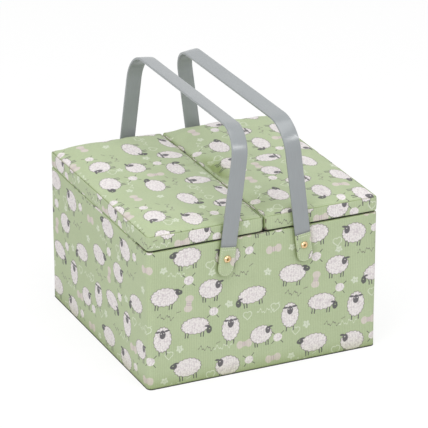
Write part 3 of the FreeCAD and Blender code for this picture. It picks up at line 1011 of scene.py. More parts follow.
def tucks(point, side, above):
    """The dents and creases that the cloth keeps, in metres, where the top stands above the seam."""
    if side == "left":
        height = hollow(point, (-0.055, -0.125), (0.05, 0.02), 0.7 * mm)
        height += crease(point, (-0.030, 0.142), (-0.052, 0.112), 0.004, 0.7 * mm)
        return height + crease(point, (-0.004, 0.034), (-0.024, 0.026), 0.003, 0.8 * mm)
    inside = max(0.0, min(1.0, (point.x - 4 * mm) / (5 * mm)))
    height = -dent(point, (0.003, 0.006), (0.024, 0.060), 0.75) * (0.95 * above + 0.9 * mm * inside)
    height += crease(point, (0.0240, 0.033), (0.0085, -0.006), 0.0022, 2.6 * mm)
    height += crease(point, (0.0165, 0.032), (0.0050, 0.002), 0.0024, 1.8 * mm)
    height += crease(point, (0.0330, 0.020), (0.0160, -0.022), 0.0040, 1.0 * mm)
    return height + hollow(point, (0.012, -0.118), (0.022, 0.026), 1.0 * mm)


deepest = min(tucks(Vector((0.012, y / 1000)), "right", 9 * mm) for y in range(-60, 61, 4))
print("the deepest tuck beside the split is", round(-deepest / mm, 1), "mm")

# %% [markdown]
# Each top is cut from one piece of cotton. Its rings start in the dip inside the seam, where the cloth
# is glued, climb out of it and roll over on to the wadding. A grid fills the middle.

# %% The cut of a top
print_start = {"left": Vector((0.21, 0.178)), "right": Vector((0.116, -0.018))}
roll_steps, roll_power = 8, 1.4
glued_rings = [(2.8, -seam_dip / mm), (2.9, -0.7), (top_start / mm, 0.1)]


def top_insets():
    """How far in each ring of the rolled edge lies, from the seam to the middle grid."""
    shares = [(k / roll_steps) ** roll_power for k in range(1, roll_steps + 1)]
    return [top_start + (roll_width - top_start) * share for share in shares]


def top_grid(plan, inset, columns, rows):
    """The points of a grid that meets the ring of the same inset and counts, row by row."""
    (x0, y0), (x1, y1), _ = plan
    return [Vector((x0 + inset + (x1 - x0 - 2 * inset) * i / columns,
                    y0 + inset + (y1 - y0 - 2 * inset) * j / rows))
            for j in range(rows + 1) for i in range(columns + 1)]


def make_top(side):
    """A top before it is puffed: rings from the dip inside the seam to the grid of its middle."""
    lid = lid_sides[side]
    plan, seam = lid["plan"], lid["seam"]

    def top_point(point, z):
        level = pad_level(point, lid)
        share = max(0.0, min(1.0, (level - seam) / (lid["top"] - seam)))
        place = over_the_seam(point, side)
        return (place.x, place.y, level + padding_height(point, plan) * share ** 2 if z is None else z)

    roll = placed(glued_rings, seam) + [(inset, None) for inset in top_insets()]
    points = [(point, z) for inset, z in roll
              for point in plan_ring(plan, inset, corner_steps, side_steps)]
    in_rings = len(points)
    points += [(point, None) for point in top_grid(plan, roll_width, *side_steps)]
    vertices = [top_point(point, z) for point, z in points]
    faces = ring_faces(len(roll), in_rings // len(roll)) + grid_faces(in_rings, *side_steps)
    hand = -1 if side == "left" else 1
    cut = [Vector((-hand * point.y, hand * point.x)) + print_start[side] for point, _ in points]
    corners = [[tuple(cut[v]) for v in face] for face in faces]
    cover = add_piece(side + "_lid_top", vertices, faces, corners, cotton, None)
    weld(cover)
    return cover


def weld(piece):
    """Joins the points that lie on each other, where the rounded corners shrink to nothing."""
    modifier = piece.modifiers.new("weld", "WELD")
    modifier.merge_threshold = 0.02 * mm
    apply_modifiers(piece)


def apply_modifiers(piece):
    """Keeps the shape that a piece's modifiers make of it."""
    graph = bpy.context.evaluated_depsgraph_get()
    done = bpy.data.meshes.new_from_object(piece.evaluated_get(graph))
    piece.modifiers.clear()
    piece.data = done


print("rings in a rolled edge:", len(top_insets()), "in steps of", side_steps, "along the sides")

# %% [markdown]
# The cotton is cut a little large, and cloth simulation lets the spare width find its own puckers:
# air pressure stands for the wadding, and the seam is pinned. It runs for a few steps with gravity
# off. Afterwards each point may have moved only a little from where it began, so the lid keeps its size.

# %% Puffing the tops
puff_frames = 14
puff_limit = 1.6 * mm
puff_pressure = 1.6
spare_cotton = 0.012
held_height, free_height = 0.2 * mm, 0.4 * mm
calm_edge, least_travel = 14 * mm, 0.15
# The strongest painted shade that a dent is given.
dent_shade_full = 0.95


def pin_group(piece, keep):
    """Names the points that the simulation holds still: those for which keep is true."""
    group = piece.vertex_groups.new(name="seam")
    for vertex in piece.data.vertices:
        if keep(vertex.co):
            group.add([vertex.index], 1.0, "REPLACE")
    return group.name


def puff(piece, pinned, pressure, limit_at, frames, slack):
    """Inflates a piece with Blender's cloth, then keeps each point within limit_at(its start)."""
    start = [v.co.copy() for v in piece.data.vertices]
    cloth = piece.modifiers.new("wadding", "CLOTH")
    settings = cloth.settings
    settings.quality = 6
    settings.mass = 0.15
    settings.tension_stiffness = settings.compression_stiffness = 12
    settings.bending_stiffness = 0.6
    settings.shrink_min = -slack
    settings.use_pressure = True
    settings.uniform_pressure_force = pressure
    settings.effector_weights.gravity = 0
    settings.vertex_group_mass = pinned
    cloth.collision_settings.use_collision = False
    cloth.point_cache.frame_start = 1
    cloth.point_cache.frame_end = frames
    scene = bpy.context.scene
    for frame_number in range(1, frames + 1):
        scene.frame_set(frame_number)
    graph = bpy.context.evaluated_depsgraph_get()
    moved = piece.evaluated_get(graph).to_mesh()
    furthest = 0.0
    places = []
    for vertex, before in zip(moved.vertices, start):
        step = vertex.co - before
        furthest = max(furthest, step.length)
        limit = limit_at(before)
        if step.length > 1e-9:
            step *= limit * math.tanh(step.length / max(limit, 1e-6)) / step.length
        places.append(before + step)
    piece.evaluated_get(graph).to_mesh_clear()
    piece.modifiers.clear()
    piece.vertex_groups.clear()
    scene.frame_set(1)
    for vertex, place in zip(piece.data.vertices, places):
        vertex.co = place
    piece.data.update()
    print(piece.name, "swelled by up to", round(furthest / mm, 2), "mm")


def finish_top(side):
    lid = lid_sides[side]
    seam = lid["seam"]
    top = make_top(side)
    pinned = pin_group(top, lambda co: co.z < seam + held_height)

    def limit_at(place):
        free = (place.z - seam - free_height) / (lid["top"] - seam)
        inside = edge_distance(place, lid["plan"]) / calm_edge
        return puff_limit * max(0.0, min(1.0, free)) * max(least_travel, min(1.0, inside))

    puff(top, pinned, puff_pressure, limit_at, puff_frames, spare_cotton)
    soften(top)
    apply_modifiers(top)
    # Painted shade in the dents: each sunk point stores how deep it sank, and the cotton shader darkens it
    # by that much.
    dent_shade = top.data.attributes.new("dent_shade", "FLOAT", "POINT")
    for vertex in top.data.vertices:
        above = vertex.co.z - seam
        if above > held_height:
            sink = tucks(vertex.co.xy, side, above) * min(1.0, above / (3 * mm))
            vertex.co.z += sink
            share = max(0.0, min(1.0, -sink / (above + 0.5 * mm)))
            dent_shade.data[vertex.index].value = dent_shade_full * share
    thicken(top, cover_thickness)
    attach(top, side + "_lid")
    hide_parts(side + "_lid_pad")


for side in lid_sides:
    finish_top(side)

# %% [markdown]
# ## Cloth hinges
# The cover carries on over the gap at each side, so the cotton itself is the hinge. It is slit near
# the corners, where a fold round a corner could not open. The strip below lies on the box at its
# foot and on the lid at its head.

# %% Hinge strips
hinge_steps = 90
hinge_rise = 0.1742
hinge_lift = 0.45 * mm
hinge_groove = [(0.0, -2.0), (0.5, -1.2), (1.0, -0.25), (1.6, 0.0), (2.4, 0.0), (3.2, -0.35)]
hinge_profile = [(-up, out) for up, out in reversed(hinge_groove[1:])] + hinge_groove


def turned_over(faces, corners):
    """The faces and map corners of the same sheet with its other side outward."""
    return [tuple(reversed(face)) for face in faces], [list(reversed(face)) for face in corners]


def make_hinge_cloth(side):
    hand = -1 if side == "left" else 1
    low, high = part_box(side + "_hinge_fold")
    face = low.x if side == "left" else high.x
    middle = (low.z + high.z) / 2 + hinge_lift
    fold = [(up * mm, out * mm) for up, out in hinge_profile]
    rows = []
    for dz, out in fold:
        row = []
        for k in range(hinge_steps + 1):
            y = low.y + (high.y - low.y) * k / hinge_steps
            lift = ripple((y, dz, hand), 0.012, 0.12 * mm)
            depth = 0.9 + ripple((y, 0.0, 5.0 * hand), 0.045, 0.75)
            sway = ripple((y, 1.0, 5.0 * hand), 0.06, 0.5 * mm)
            row.append((face + hand * (out * depth + lift), y, middle + dz + sway))
        rows.append(row)
    run = [hand * (row_y - low.y) for _, row_y, _ in rows[0]]
    rises = [hinge_rise + dz for dz, _ in fold]
    vertices, faces, corners = loft(rows, run, rises, closed=False)
    if side == "left":
        faces, corners = turned_over(faces, corners)
    strip = add_piece(side + "_hinge_cloth", vertices, faces, corners, cotton, None)
    thicken(strip, 0.5 * mm)
    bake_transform(strip)
    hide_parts(side + "_hinge_fold")
    print(side, "hinge is", round(high.y - low.y, 3), "m long")


for side in ("left", "right"):
    make_hinge_cloth(side)

# %% [markdown]
# ## Handle sleeves
# Each handle is a steel strip in a smooth grey sleeve, bent into a hoop. The sleeve is a soft
# rectangle swept round the hoop, crowned a little on its outer face so that light runs along it.
# It is drawn standing upright between its rivets and then leaned towards the other handle.

# %% Sleeve material
sleeve_greys = linear(143, 148, 151), linear(154, 159, 161)


def make_sleeve_material():
    material, recipe = new_material("grey sleeve")
    along = cloth_point(recipe)
    u, v, _ = recipe.split(along)
    brushed = recipe.noise(recipe.join(recipe.calc("MULTIPLY", u, 0.02), v), 2.2, 2.0)
    cloudy = recipe.noise(along, 0.02, 3.0)
    pebble = recipe.noise(along, 2.6, 2.0)
    grey = recipe.mix(cloudy, *sleeve_greys)
    grey = recipe.tinted(grey, recipe.rescale(brushed, 0.3, 0.7, 0.95, 1.04))
    roughness = recipe.rescale(cloudy, 0.3, 0.7, 0.2, 0.27)
    height = recipe.calc("MULTIPLY_ADD", brushed, 0.6, recipe.calc("MULTIPLY", pebble, 0.12))
    finish_material(recipe, grey, roughness, height, 0.12 * mm, Specular_IOR_Level=0.8)
    return material


sleeve_grey = make_sleeve_material()
print("the sleeve's finish takes", len(sleeve_grey.node_tree.nodes), "nodes")

# %% [markdown]
# The hoop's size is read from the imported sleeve. Its two bends are quarter circles, as wide as the
# strip will take without a kink, and its feet end inside the cloth tabs.

# %% Sleeve shape
strap_width = 20 * mm
strap_thickness = 3.2 * mm
bend_radius = 36 * mm
handle_lean = math.radians(7.2)
rivet_low, rivet_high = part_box("rivet_front_left")
rivet_height = (rivet_low.z + rivet_high.z) / 2
rivet_offset = abs(rivet_low.x + rivet_high.x) / 2
hoop_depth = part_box("left_handle_sleeve")[1].y
hoop_top = 157.5 * mm
sleeve_foot = 15 * mm
leg_steps, bend_steps, bar_steps = 20, 18, 24
section_radius, section_crown = 0.75 * mm, 0.2 * mm
sleeve_ease = 0.2 * mm


def stand_on_rivets(piece, side):
    """Leans a piece made upright round its rivet axis, and puts it in its place."""
    hand = -1 if side == "left" else 1
    lean = Matrix.Rotation(-hand * handle_lean, 4, "Y")
    piece.data.transform(Matrix.Translation((hand * rivet_offset, 0, rivet_height)) @ lean)


def hoop_line(depth, top, radius, foot):
    """Points (y, z) and outward directions along half a hoop and back, from the front foot."""
    line = []
    for k in range(leg_steps):
        line.append(((-depth, foot + (top - radius - foot) * k / leg_steps), (-1, 0)))
    for k in range(bend_steps + 1):
        turn = math.radians(90 * k / bend_steps)
        out = (-math.cos(turn), math.sin(turn))
        line.append(((-depth + radius + radius * out[0], top - radius + radius * out[1]), out))
    half = list(line)
    span = 2 * (depth - radius)
    for k in range(1, bar_steps):
        line.append(((-depth + radius + span * k / bar_steps, top), (0, 1)))
    line += [((-y, z), (-out[0], out[1])) for (y, z), out in reversed(half)]
    return line


def soft_rectangle(width, thickness, radius, crown, steps=5):
    """A section (across, out) with round corners and a crowned face, anticlockwise."""
    points = []
    for sx, sy, start in ((1, 1, 0), (-1, 1, 90), (-1, -1, 180), (1, -1, 270)):
        for k in range(steps + 1):
            angle = math.radians(start + 90 * k / steps)
            across = sx * (width / 2 - radius) + radius * math.cos(angle)
            out = sy * (thickness / 2 - radius) + radius * math.sin(angle)
            points.append((across, out))
    flat = []
    for i, (across, out) in enumerate(points):
        flat.append((across, out))
        following = points[(i + 1) % len(points)]
        if abs(following[0] - across) > width / 3:
            for k in range(1, 6):
                share = k / 6
                bulge = crown * math.sin(math.pi * share) * (1 if out > 0 else -0.4)
                flat.append((across + (following[0] - across) * share, out + bulge))
    return flat


def make_sleeve(side):
    middle_depth = hoop_depth - strap_thickness / 2
    middle_top = hoop_top - strap_thickness / 2
    middle_radius = bend_radius - strap_thickness / 2
    line = hoop_line(middle_depth, middle_top, middle_radius, sleeve_foot)
    section = soft_rectangle(strap_width - sleeve_ease, strap_thickness - sleeve_ease,
                             section_radius, section_crown)
    rings, travelled, before = [], [], None
    for (y, z), (out_y, out_z) in line:
        rings.append([(across, y + out_y * out, z + out_z * out) for across, out in section])
        travelled.append(0.0 if before is None else travelled[-1] + math.dist(before, (y, z)))
        before = (y, z)
    round_section = ring_stations([Vector(p) for p in section])
    vertices, faces, corners = loft(rings, round_section, travelled)
    corners = [[(v, u) for u, v in face] for face in corners]
    count = len(section)
    last = (len(rings) - 1) * count
    faces += [tuple(reversed(range(count))), tuple(range(last, last + count))]
    corners += [[(0.0, 0.0)] * count, [(0.0, 0.0)] * count]
    sleeve = add_piece(side + "_sleeve", vertices, faces, corners, sleeve_grey, None)
    stand_on_rivets(sleeve, side)
    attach(sleeve, side + "_handle")
    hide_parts(side + "_handle_sleeve")
    print(sleeve.name, "is", round(travelled[-1], 3), "m along its middle")


for side in ("left", "right"):
    make_sleeve(side)

# %% [markdown]
# ## Cloth tabs
# At each end the strap is sewn into a tab of the same cotton, folded over a stiffener: its foot is
# round, its edges are rolled, and it dips where the rivet clamps it. It is made as a stack of its
# own outline, drawn in towards the middle, once for the outer face and once for the inner one.

# %% Tabs
tab_top = 15.8 * mm
tab_foot = 22 * mm
tab_thickness = 3.2 * mm
tab_inner_face = 1.6 * mm
wall_face = 150 * mm
tab_prints = {"left": {-1: (0.152, 0.015), 1: (0.07, 0.09)},
              "right": {-1: (0.042, 0.093), 1: (0.12, 0.05)}}
tab_insets = [0.0, 0.15, 0.45, 0.9, 1.4, 2.0, 2.6, 3.6, 5.0, 6.6, 8.2, 9.6]


def tab_outline(inset, foot_steps=12, side_steps=8, top_steps=6):
    """(x, z) round a tab drawn in by inset, anticlockwise from the foot of its right side."""
    half = strap_width / 2 + 0.25 * mm
    radius = half - inset
    centre_z = -tab_foot + strap_width / 2
    head = tab_top - inset
    corner = 1.2 * mm
    outline = []
    for k in range(side_steps):
        outline.append((radius, centre_z + (head - corner - centre_z) * k / side_steps))
    outline += [(radius, head - corner), (radius - 0.35 * corner, head - 0.35 * corner)]
    for k in range(top_steps + 1):
        outline.append((radius - corner - (2 * radius - 2 * corner) * k / top_steps, head))
    outline += [(-radius + 0.35 * corner, head - 0.35 * corner), (-radius, head - corner)]
    for k in range(1, side_steps + 1):
        outline.append((-radius, head - corner - (head - corner - centre_z) * k / side_steps))
    for k in range(1, foot_steps):
        angle = math.radians(180 + 180 * k / foot_steps)
        outline.append((radius * math.cos(angle), centre_z + radius * math.sin(angle)))
    return outline


def tab_bulge(x, z, inset):
    """How far the tab's face stands out from its middle sheet."""
    rolled = math.sqrt(max(0.0, 1 - (1 - min(1.0, inset / (1.3 * mm))) ** 2))
    clamped = math.exp(-((x * x + z * z) / (6.2 * mm) ** 2))
    sewn = math.exp(-((inset - 2.0 * mm) / (0.55 * mm)) ** 2)
    hem = math.exp(-((z - tab_top + 4.4 * mm) / (0.6 * mm)) ** 2)
    return tab_thickness / 2 * rolled - 0.28 * mm * clamped - 0.22 * mm * sewn - 0.18 * mm * hem


def make_tab(side, end):
    outer = [(inset * mm, 1) for inset in tab_insets]
    stack = [(inset, -1) for inset, _ in reversed(outer)][:-1] + outer
    print_u, print_v = tab_prints[side][end]
    middle = wall_face + tab_inner_face + tab_thickness / 2
    vertices, flat = [], []
    for inset, face in stack:
        for x, z in tab_outline(inset):
            out = middle + face * tab_bulge(x, z, inset)
            vertices.append((-end * x, end * out, z))
            flat.append((print_u + x * face, print_v + z))
    total = len(vertices)
    around = total // len(stack)
    faces = ring_faces(len(stack), around)
    faces += [tuple(range(around)), tuple(reversed(range(total - around, total)))]
    corners = [[flat[v] for v in face] for face in faces]
    where = "front" if end < 0 else "back"
    tab = add_piece(f"{side}_{where}_cloth_tab", vertices, faces, corners, cotton, None)
    stand_on_rivets(tab, side)
    face_outward(tab)
    soften(tab)
    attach(tab, side + "_handle")
    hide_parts(f"{side}_handle_{where}_tab")
    return tab


def face_outward(piece):
    """Turns every face of a closed mesh outward."""
    shape = bmesh.new()
    shape.from_mesh(piece.data)
    bmesh.ops.recalc_face_normals(shape, faces=shape.faces)
    shape.to_mesh(piece.data)
    shape.free()


tab_places = [(side, end) for side in ("left", "right") for end in (-1, 1)]
for side, end in tab_places:
    tab = make_tab(side, end)
    print(tab.name, "has", len(tab.data.vertices), "points")

# %% [markdown]
# ## Thread
# Stitches are short loops of pale thread, each one a small bead drawn out along the seam and a
# little sunk into the cloth. A row of them is one mesh.

# %% Stitches
thread_twist = 0.35
thread_greens = linear(212, 221, 196), linear(232, 238, 220)
bead_sides, bead_flatness = 6, 0.8
bead_sections = [(-0.5, 0.15), (-0.3, 0.85), (0.0, 1.0), (0.3, 0.85), (0.5, 0.15)]


def make_thread_material():
    material, recipe = new_material("pale thread")
    x, y, z = recipe.split(solid_point(recipe))
    twist = ribs(recipe, recipe.calc("ADD", recipe.calc("ADD", x, y), z), thread_twist)
    colour = recipe.mix(twist, *thread_greens)
    finish_material(recipe, colour, 0.6, twist, 0.1 * mm, Sheen_Weight=0.2)
    return material


thread = make_thread_material()


def stitch_row(points, out, length=2.1 * mm, gap=0.8 * mm, radius=0.26 * mm):
    """Vertices and faces of stitches along a line of points, lying flat on the face out."""
    out = Vector(out)
    path = [Vector(p) for p in points]
    vertices, faces = [], []
    turns = [2 * math.pi * k / bead_sides for k in range(bead_sides)]
    position, total = 0.0, sum((b - a).length for a, b in zip(path, path[1:]))
    while position + length <= total:
        centre, along = along_path(path, position + length / 2)
        side = along.cross(out).normalized()
        first = len(vertices)
        for share, size in bead_sections:
            for turn in turns:
                vertices.append(centre + along * (share * length)
                                + side * (radius * size * math.cos(turn))
                                + out * (radius * size * math.sin(turn) * bead_flatness))
        bead = ring_faces(len(bead_sections), bead_sides)
        faces += [tuple(first + v for v in face) for face in bead]
        position += length + gap
    return vertices, faces


def along_path(path, distance):
    """The point at a distance along a path, and the way the path runs there."""
    for a, b in zip(path, path[1:]):
        length = (b - a).length
        if distance <= length:
            return a.lerp(b, distance / length), (b - a).normalized()
        distance -= length
    return path[-1], (path[-1] - path[-2]).normalized()


def stitch_tab(side, end):
    """Two rows of stitches across a tab's hem, and one round its edge."""
    rows = []
    middle = wall_face + tab_inner_face + tab_thickness / 2
    half = strap_width / 2 - 1.6 * mm
    for drop in (1.3 * mm, 4.4 * mm):
        z = tab_top - drop
        out = middle + tab_bulge(0.0, z, min(drop, 5 * mm)) + 0.15 * mm
        line = [(-half, end * out, z), (half, end * out, z)]
        rows.append(stitch_row(line, (0, end, 0), length=2.0 * mm, gap=0.4 * mm, radius=0.42 * mm))
    edge = [(x, z) for x, z in tab_outline(2.0 * mm) if z < tab_top - 5 * mm]
    ordered = sorted(edge, key=lambda p: math.atan2(p[0], -(p[1] + tab_foot - strap_width / 2)))
    out = middle + tab_thickness / 2 - 0.2 * mm
    line = [(x, end * out, z) for x, z in ordered]
    rows.append(stitch_row(line, (0, end, 0)))
    vertices, faces = [], []
    for row_vertices, row_faces in rows:
        first = len(vertices)
        vertices += row_vertices
        faces += [tuple(first + v for v in face) for face in row_faces]
    where = "front" if end < 0 else "back"
    stitches = add_piece(f"{side}_{where}_tab_stitches", vertices, faces, None, thread, None)
    stand_on_rivets(stitches, side)
    face_outward(stitches)
    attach(stitches, side + "_handle")
    points_each = bead_sides * len(bead_sections)
    print(stitches.name, "has", len(vertices) // points_each, "stitches")


for side, end in tab_places:
    stitch_tab(side, end)

# %% [markdown]
# ## Rivets
# The rivets are tubes of plated copper, rolled over at the head, so each head is a bright ring
# round a dark hollow. The ring is turned on a lathe: a profile carried round the rivet's axis.

# %% Rivets
copper_colours = linear(238, 212, 172), linear(208, 170, 122)


def make_copper():
    material, recipe = new_material("copper rivet")
    stain = recipe.noise(solid_point(recipe), 0.9, 3.0)
    colour = recipe.mix(recipe.rescale(stain, 0.35, 0.7), *copper_colours)
    roughness = recipe.rescale(stain, 0.3, 0.7, 0.16, 0.34)
    finish_material(recipe, colour, roughness, stain, 0.05 * mm, Metallic=1.0)
    return material


copper = make_copper()
rivet_profile = [(0.0, -2.6), (1.75, -2.6), (1.9, -0.6), (2.0, 0.5), (2.25, 1.0), (2.65, 1.25),
                 (3.1, 1.2), (3.6, 0.9), (4.05, 0.45), (4.3, 0.0), (4.2, -0.5), (3.6, -0.6)]
rivet_steps = 28
rivet_seat = wall_face + tab_inner_face + tab_thickness + 0.1 * mm


def make_rivet(side, end):
    where = f"{'front' if end < 0 else 'back'}_{side}"
    low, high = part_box("rivet_" + where)
    centre_x = (low.x + high.x) / 2
    turns = [2 * math.pi * k / rivet_steps for k in range(rivet_steps)]
    vertices = [(centre_x + radius * mm * math.cos(turn), end * (rivet_seat + out * mm),
                 rivet_height + radius * mm * math.sin(turn))
                for radius, out in rivet_profile for turn in turns]
    faces = ring_faces(len(rivet_profile), rivet_steps)
    rivet = add_piece("rivet_head_" + where, vertices, faces, None, copper, None)
    weld(rivet)
    face_outward(rivet)
    soften(rivet)
    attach(rivet, "box")


for side, end in tab_places:
    make_rivet(side, end)
print("rivet heads are", 2 * max(radius for radius, _ in rivet_profile), "mm wide")

# %% [markdown]
# ## Lining
# The inside is lined with plain cream cotton. One piece climbs the well from the floor, rolls over
# the ledge that the trays hang on, and goes on up to the rim. The floor has its own thin pad.

# %% Lining cotton
ring_corner_steps = 4
ledge_roll = [(-0.1, -1.0), (-0.6, -0.25), (-1.4, 0.0)]
rim_turn = [(1.2, 0.0), (0.4, 0.4), (0.0, 1.4)]
well_steps = (40, 40)


def box_point(recipe):
    """A flat point in millimetres on a piece with no cloth map: seen along its nearest axis."""
    x, y, z = recipe.split(solid_point(recipe))
    normal = recipe.node("ShaderNodeTexCoord").outputs["Normal"]
    nx, ny, nz = recipe.split(recipe.vec("ABSOLUTE", normal))
    faces_side = recipe.calc("GREATER_THAN", nx, ny)
    level = recipe.calc("GREATER_THAN", nz, 0.7)
    upright = recipe.mix(faces_side, recipe.join(x, z), recipe.join(y, z))
    return recipe.mix(level, upright, recipe.join(x, y))


def make_lining_material(name, dark, light, pitch=0.8):
    material, recipe = new_material(name)
    point = box_point(recipe)
    across, along, _ = recipe.split(point)
    weave = recipe.calc("ADD", ribs(recipe, across, pitch), ribs(recipe, along, pitch * 0.9))
    slub = recipe.noise(recipe.vec("MULTIPLY", point, (0.25, 1.0, 1.0)), 0.5, 3.0)
    colour = recipe.mix(recipe.rescale(slub, 0.3, 0.7), dark, light)
    height = recipe.calc("MULTIPLY_ADD", slub, 0.8, weave)
    finish_material(recipe, colour, 0.9, height, 0.1 * mm, Sheen_Weight=0.15, Sheen_Roughness=0.5)
    return material


cream = make_lining_material("lining cotton", linear(225, 218, 202), linear(232, 226, 211))


def cloth_rings(plan, profile, size, tall, per_side):
    """Rings of a skin inside a plan, with a little unevenness away from the ends."""
    rings = []
    low = min(z for _, z in profile)
    high = max(z for _, z in profile)
    for inset, z in profile:
        calm = edge_fade(z, low, high, 12 * mm)
        ring = []
        for point in plan_ring(plan, inset, ring_corner_steps, per_side):
            drum = calm * ripple((point.x, point.y, z), size, tall)
            ring.append((*(point - outward(point, plan) * drum), z))
        rings.append(ring)
    return rings


def make_well_lining():
    low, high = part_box("rim_lining")
    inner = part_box("left_liner")[1].x
    floor_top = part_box("floor_lining")[1].z
    ledge = low.z
    rim_inset = 0.4 * mm
    well_inset = high.x + inner
    plan = ((low.x, low.y), (high.x, high.y), (2 * mm,) * 4)
    climb, rim_start = ledge - floor_top - 2 * mm, ledge + 1.4 * mm
    wall = [(well_inset, floor_top + climb * k / 12) for k in range(13)]
    over = [(well_inset + inset * mm, ledge + up * mm) for inset, up in ledge_roll]
    turn = [(rim_inset + inset * mm, ledge + up * mm) for inset, up in rim_turn]
    rim = [(rim_inset, rim_start + (high.z - ledge - 1.6 * mm) * k / 4) for k in range(1, 5)]
    profile = wall + over + turn + rim
    rings = cloth_rings(plan, profile, 0.05, 0.25 * mm, well_steps)
    stations = ring_stations(plan_ring(plan, well_inset, ring_corner_steps, well_steps))
    rises = profile_rises(profile)
    vertices, faces, corners = loft(rings, stations, rises)
    faces, corners = turned_over(faces, corners)
    lining = add_piece("well_lining", vertices, faces, corners, cream, "box")
    thicken(lining, 0.5 * mm)
    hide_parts("front_liner", "back_liner", "left_liner", "right_liner", "rim_lining")
    print("well lining cut", round(stations[-1], 3), "by", round(rises[-1], 3))


make_well_lining()

# %% [markdown]
# The floor's pad is a plate of cloth-covered wadding with a rolled edge and a soft crown. The rings of
# its plan are stacked from one face round the edge to the other, and a grid closes each face.

# %% Floor pad
pad_steps = (28, 28)
pad_roll, pad_crown = 1.5 * mm, 0.6 * mm
roll_turns = [math.radians(90 * k / 5) for k in range(6)]


def make_floor_pad():
    low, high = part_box("floor_lining")
    (x0, y0), (x1, y1) = (low.x + 0.5 * mm, low.y + 0.5 * mm), (high.x - 0.5 * mm, high.y - 0.5 * mm)
    plan = ((x0, y0), (x1, y1), (2 * mm,) * 4)
    middle, half = (low.z + high.z) / 2, (high.z - low.z) / 2
    widest = min(x1 - x0, y1 - y0) / 2
    quarter = [(pad_roll * (1 - math.cos(turn)), math.sin(turn)) for turn in roll_turns]
    stack = [(inset, -up) for inset, up in reversed(quarter)] + quarter
    vertices = [(point.x, point.y, middle + half * up) for inset, up in stack
                for point in plan_ring(plan, inset, 3, pad_steps)]
    faces = ring_faces(len(stack), len(vertices) // len(stack))
    for face in (-1, 1):
        grid = grid_faces(len(vertices), *pad_steps)
        faces += grid if face > 0 else [tuple(reversed(quad)) for quad in grid]
        for point in top_grid(plan, pad_roll, *pad_steps):
            inside = max(0.0, edge_distance(point, plan) - pad_roll) / (widest - pad_roll)
            crown = pad_crown * math.sin(min(1.0, inside) * math.pi / 2)
            bump = ripple((point.x, point.y, 4.0), 0.03, 0.3 * mm)
            vertices.append((point.x, point.y, middle + face * (half + crown) + bump))
    corners = [[(vertices[v][0], vertices[v][1]) for v in face] for face in faces]
    pad = add_piece("floor_pad", vertices, faces, corners, cream, None)
    weld(pad)
    face_outward(pad)
    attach(pad, "box")
    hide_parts("floor_lining")
    print("floor pad", round((x1 - x0) / mm), "by", round((y1 - y0) / mm), "mm")


make_floor_pad()

# %% [markdown]
# ## Lid linings
# Under each lid the same cream cotton is drawn over the board and down the inside of the frame. A
# little wadding behind it lets it belly out between its edges, and it puckers at the corners.

# %% Lid linings
lining_steps = (20, 40)
belly, belly_reach = 1.1 * mm, 30 * mm
lining_foot = [(-1.6, -0.1), (-0.5, -0.25), (0.3, 0.2), (0.55, 1.2), (0.6, 5.0)]
lining_head = [(0.6, -2.0), (0.9, -0.8), (1.8, -0.1), (3.2, 0.0)]
lining_inset = lining_head[-1][0] * mm


def make_lid_lining(side):
    low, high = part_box(side + "_lid_lining")
    ceiling = high.z - 0.8 * mm
    plan = ((low.x, low.y), (high.x, high.y), (3 * mm,) * 4)
    fold = placed(lining_foot, low.z) + placed(lining_head, ceiling)
    vertices = [(point.x, point.y, z) for inset, z in fold
                for point in plan_ring(plan, inset, ring_corner_steps, lining_steps)]
    faces = ring_faces(len(fold), len(vertices) // len(fold)) + grid_faces(len(vertices), *lining_steps)
    for point in top_grid(plan, lining_inset, *lining_steps):
        away = edge_distance(point, plan)
        bellied = belly * min(1.0, max(0.0, away - lining_inset) / belly_reach)
        pucker = ripple((point.x, point.y, 6.0), 0.02, 0.5 * mm) * math.exp(-away / (25 * mm))
        vertices.append((point.x, point.y, ceiling - bellied + pucker))
    lining = add_piece(side + "_lid_lining_cloth", vertices, faces, None, cream, None)
    weld(lining)
    thicken(lining, -0.4 * mm)
    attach(lining, side + "_lid")
    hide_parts(side + "_lid_lining")


for side in ("left", "right"):
    make_lid_lining(side)

# %% [markdown]
# ## Pincushion
# A small stuffed cushion is sewn under the left lid. It starts as a slightly small pillow and is
# blown up by cloth simulation, so its faces round out and its seam pulls in between the corners.

# %% Pincushion
cushion_steps = (14, 20)
cushion_seam = 3.4 * mm
cushion_dish = 1.4 * mm
cushion_pressure, cushion_frames = 4.0, 16
cushion_limit, spare_felt = 1.0 * mm, 0.02


def make_felt(name, dark, light):
    material, recipe = new_material(name)
    place = solid_point(recipe)
    fibres = recipe.noise(place, 1.6, 6.0)
    cloud = recipe.noise(place, 0.08, 2.0)
    colour = recipe.mix(recipe.rescale(fibres, 0.35, 0.65), dark, light)
    colour = recipe.tinted(colour, recipe.rescale(cloud, 0.3, 0.7, 0.95, 1.03))
    finish_material(recipe, colour, 0.95, fibres, 0.3 * mm, Sheen_Weight=0.4, Sheen_Roughness=0.6)
    return material


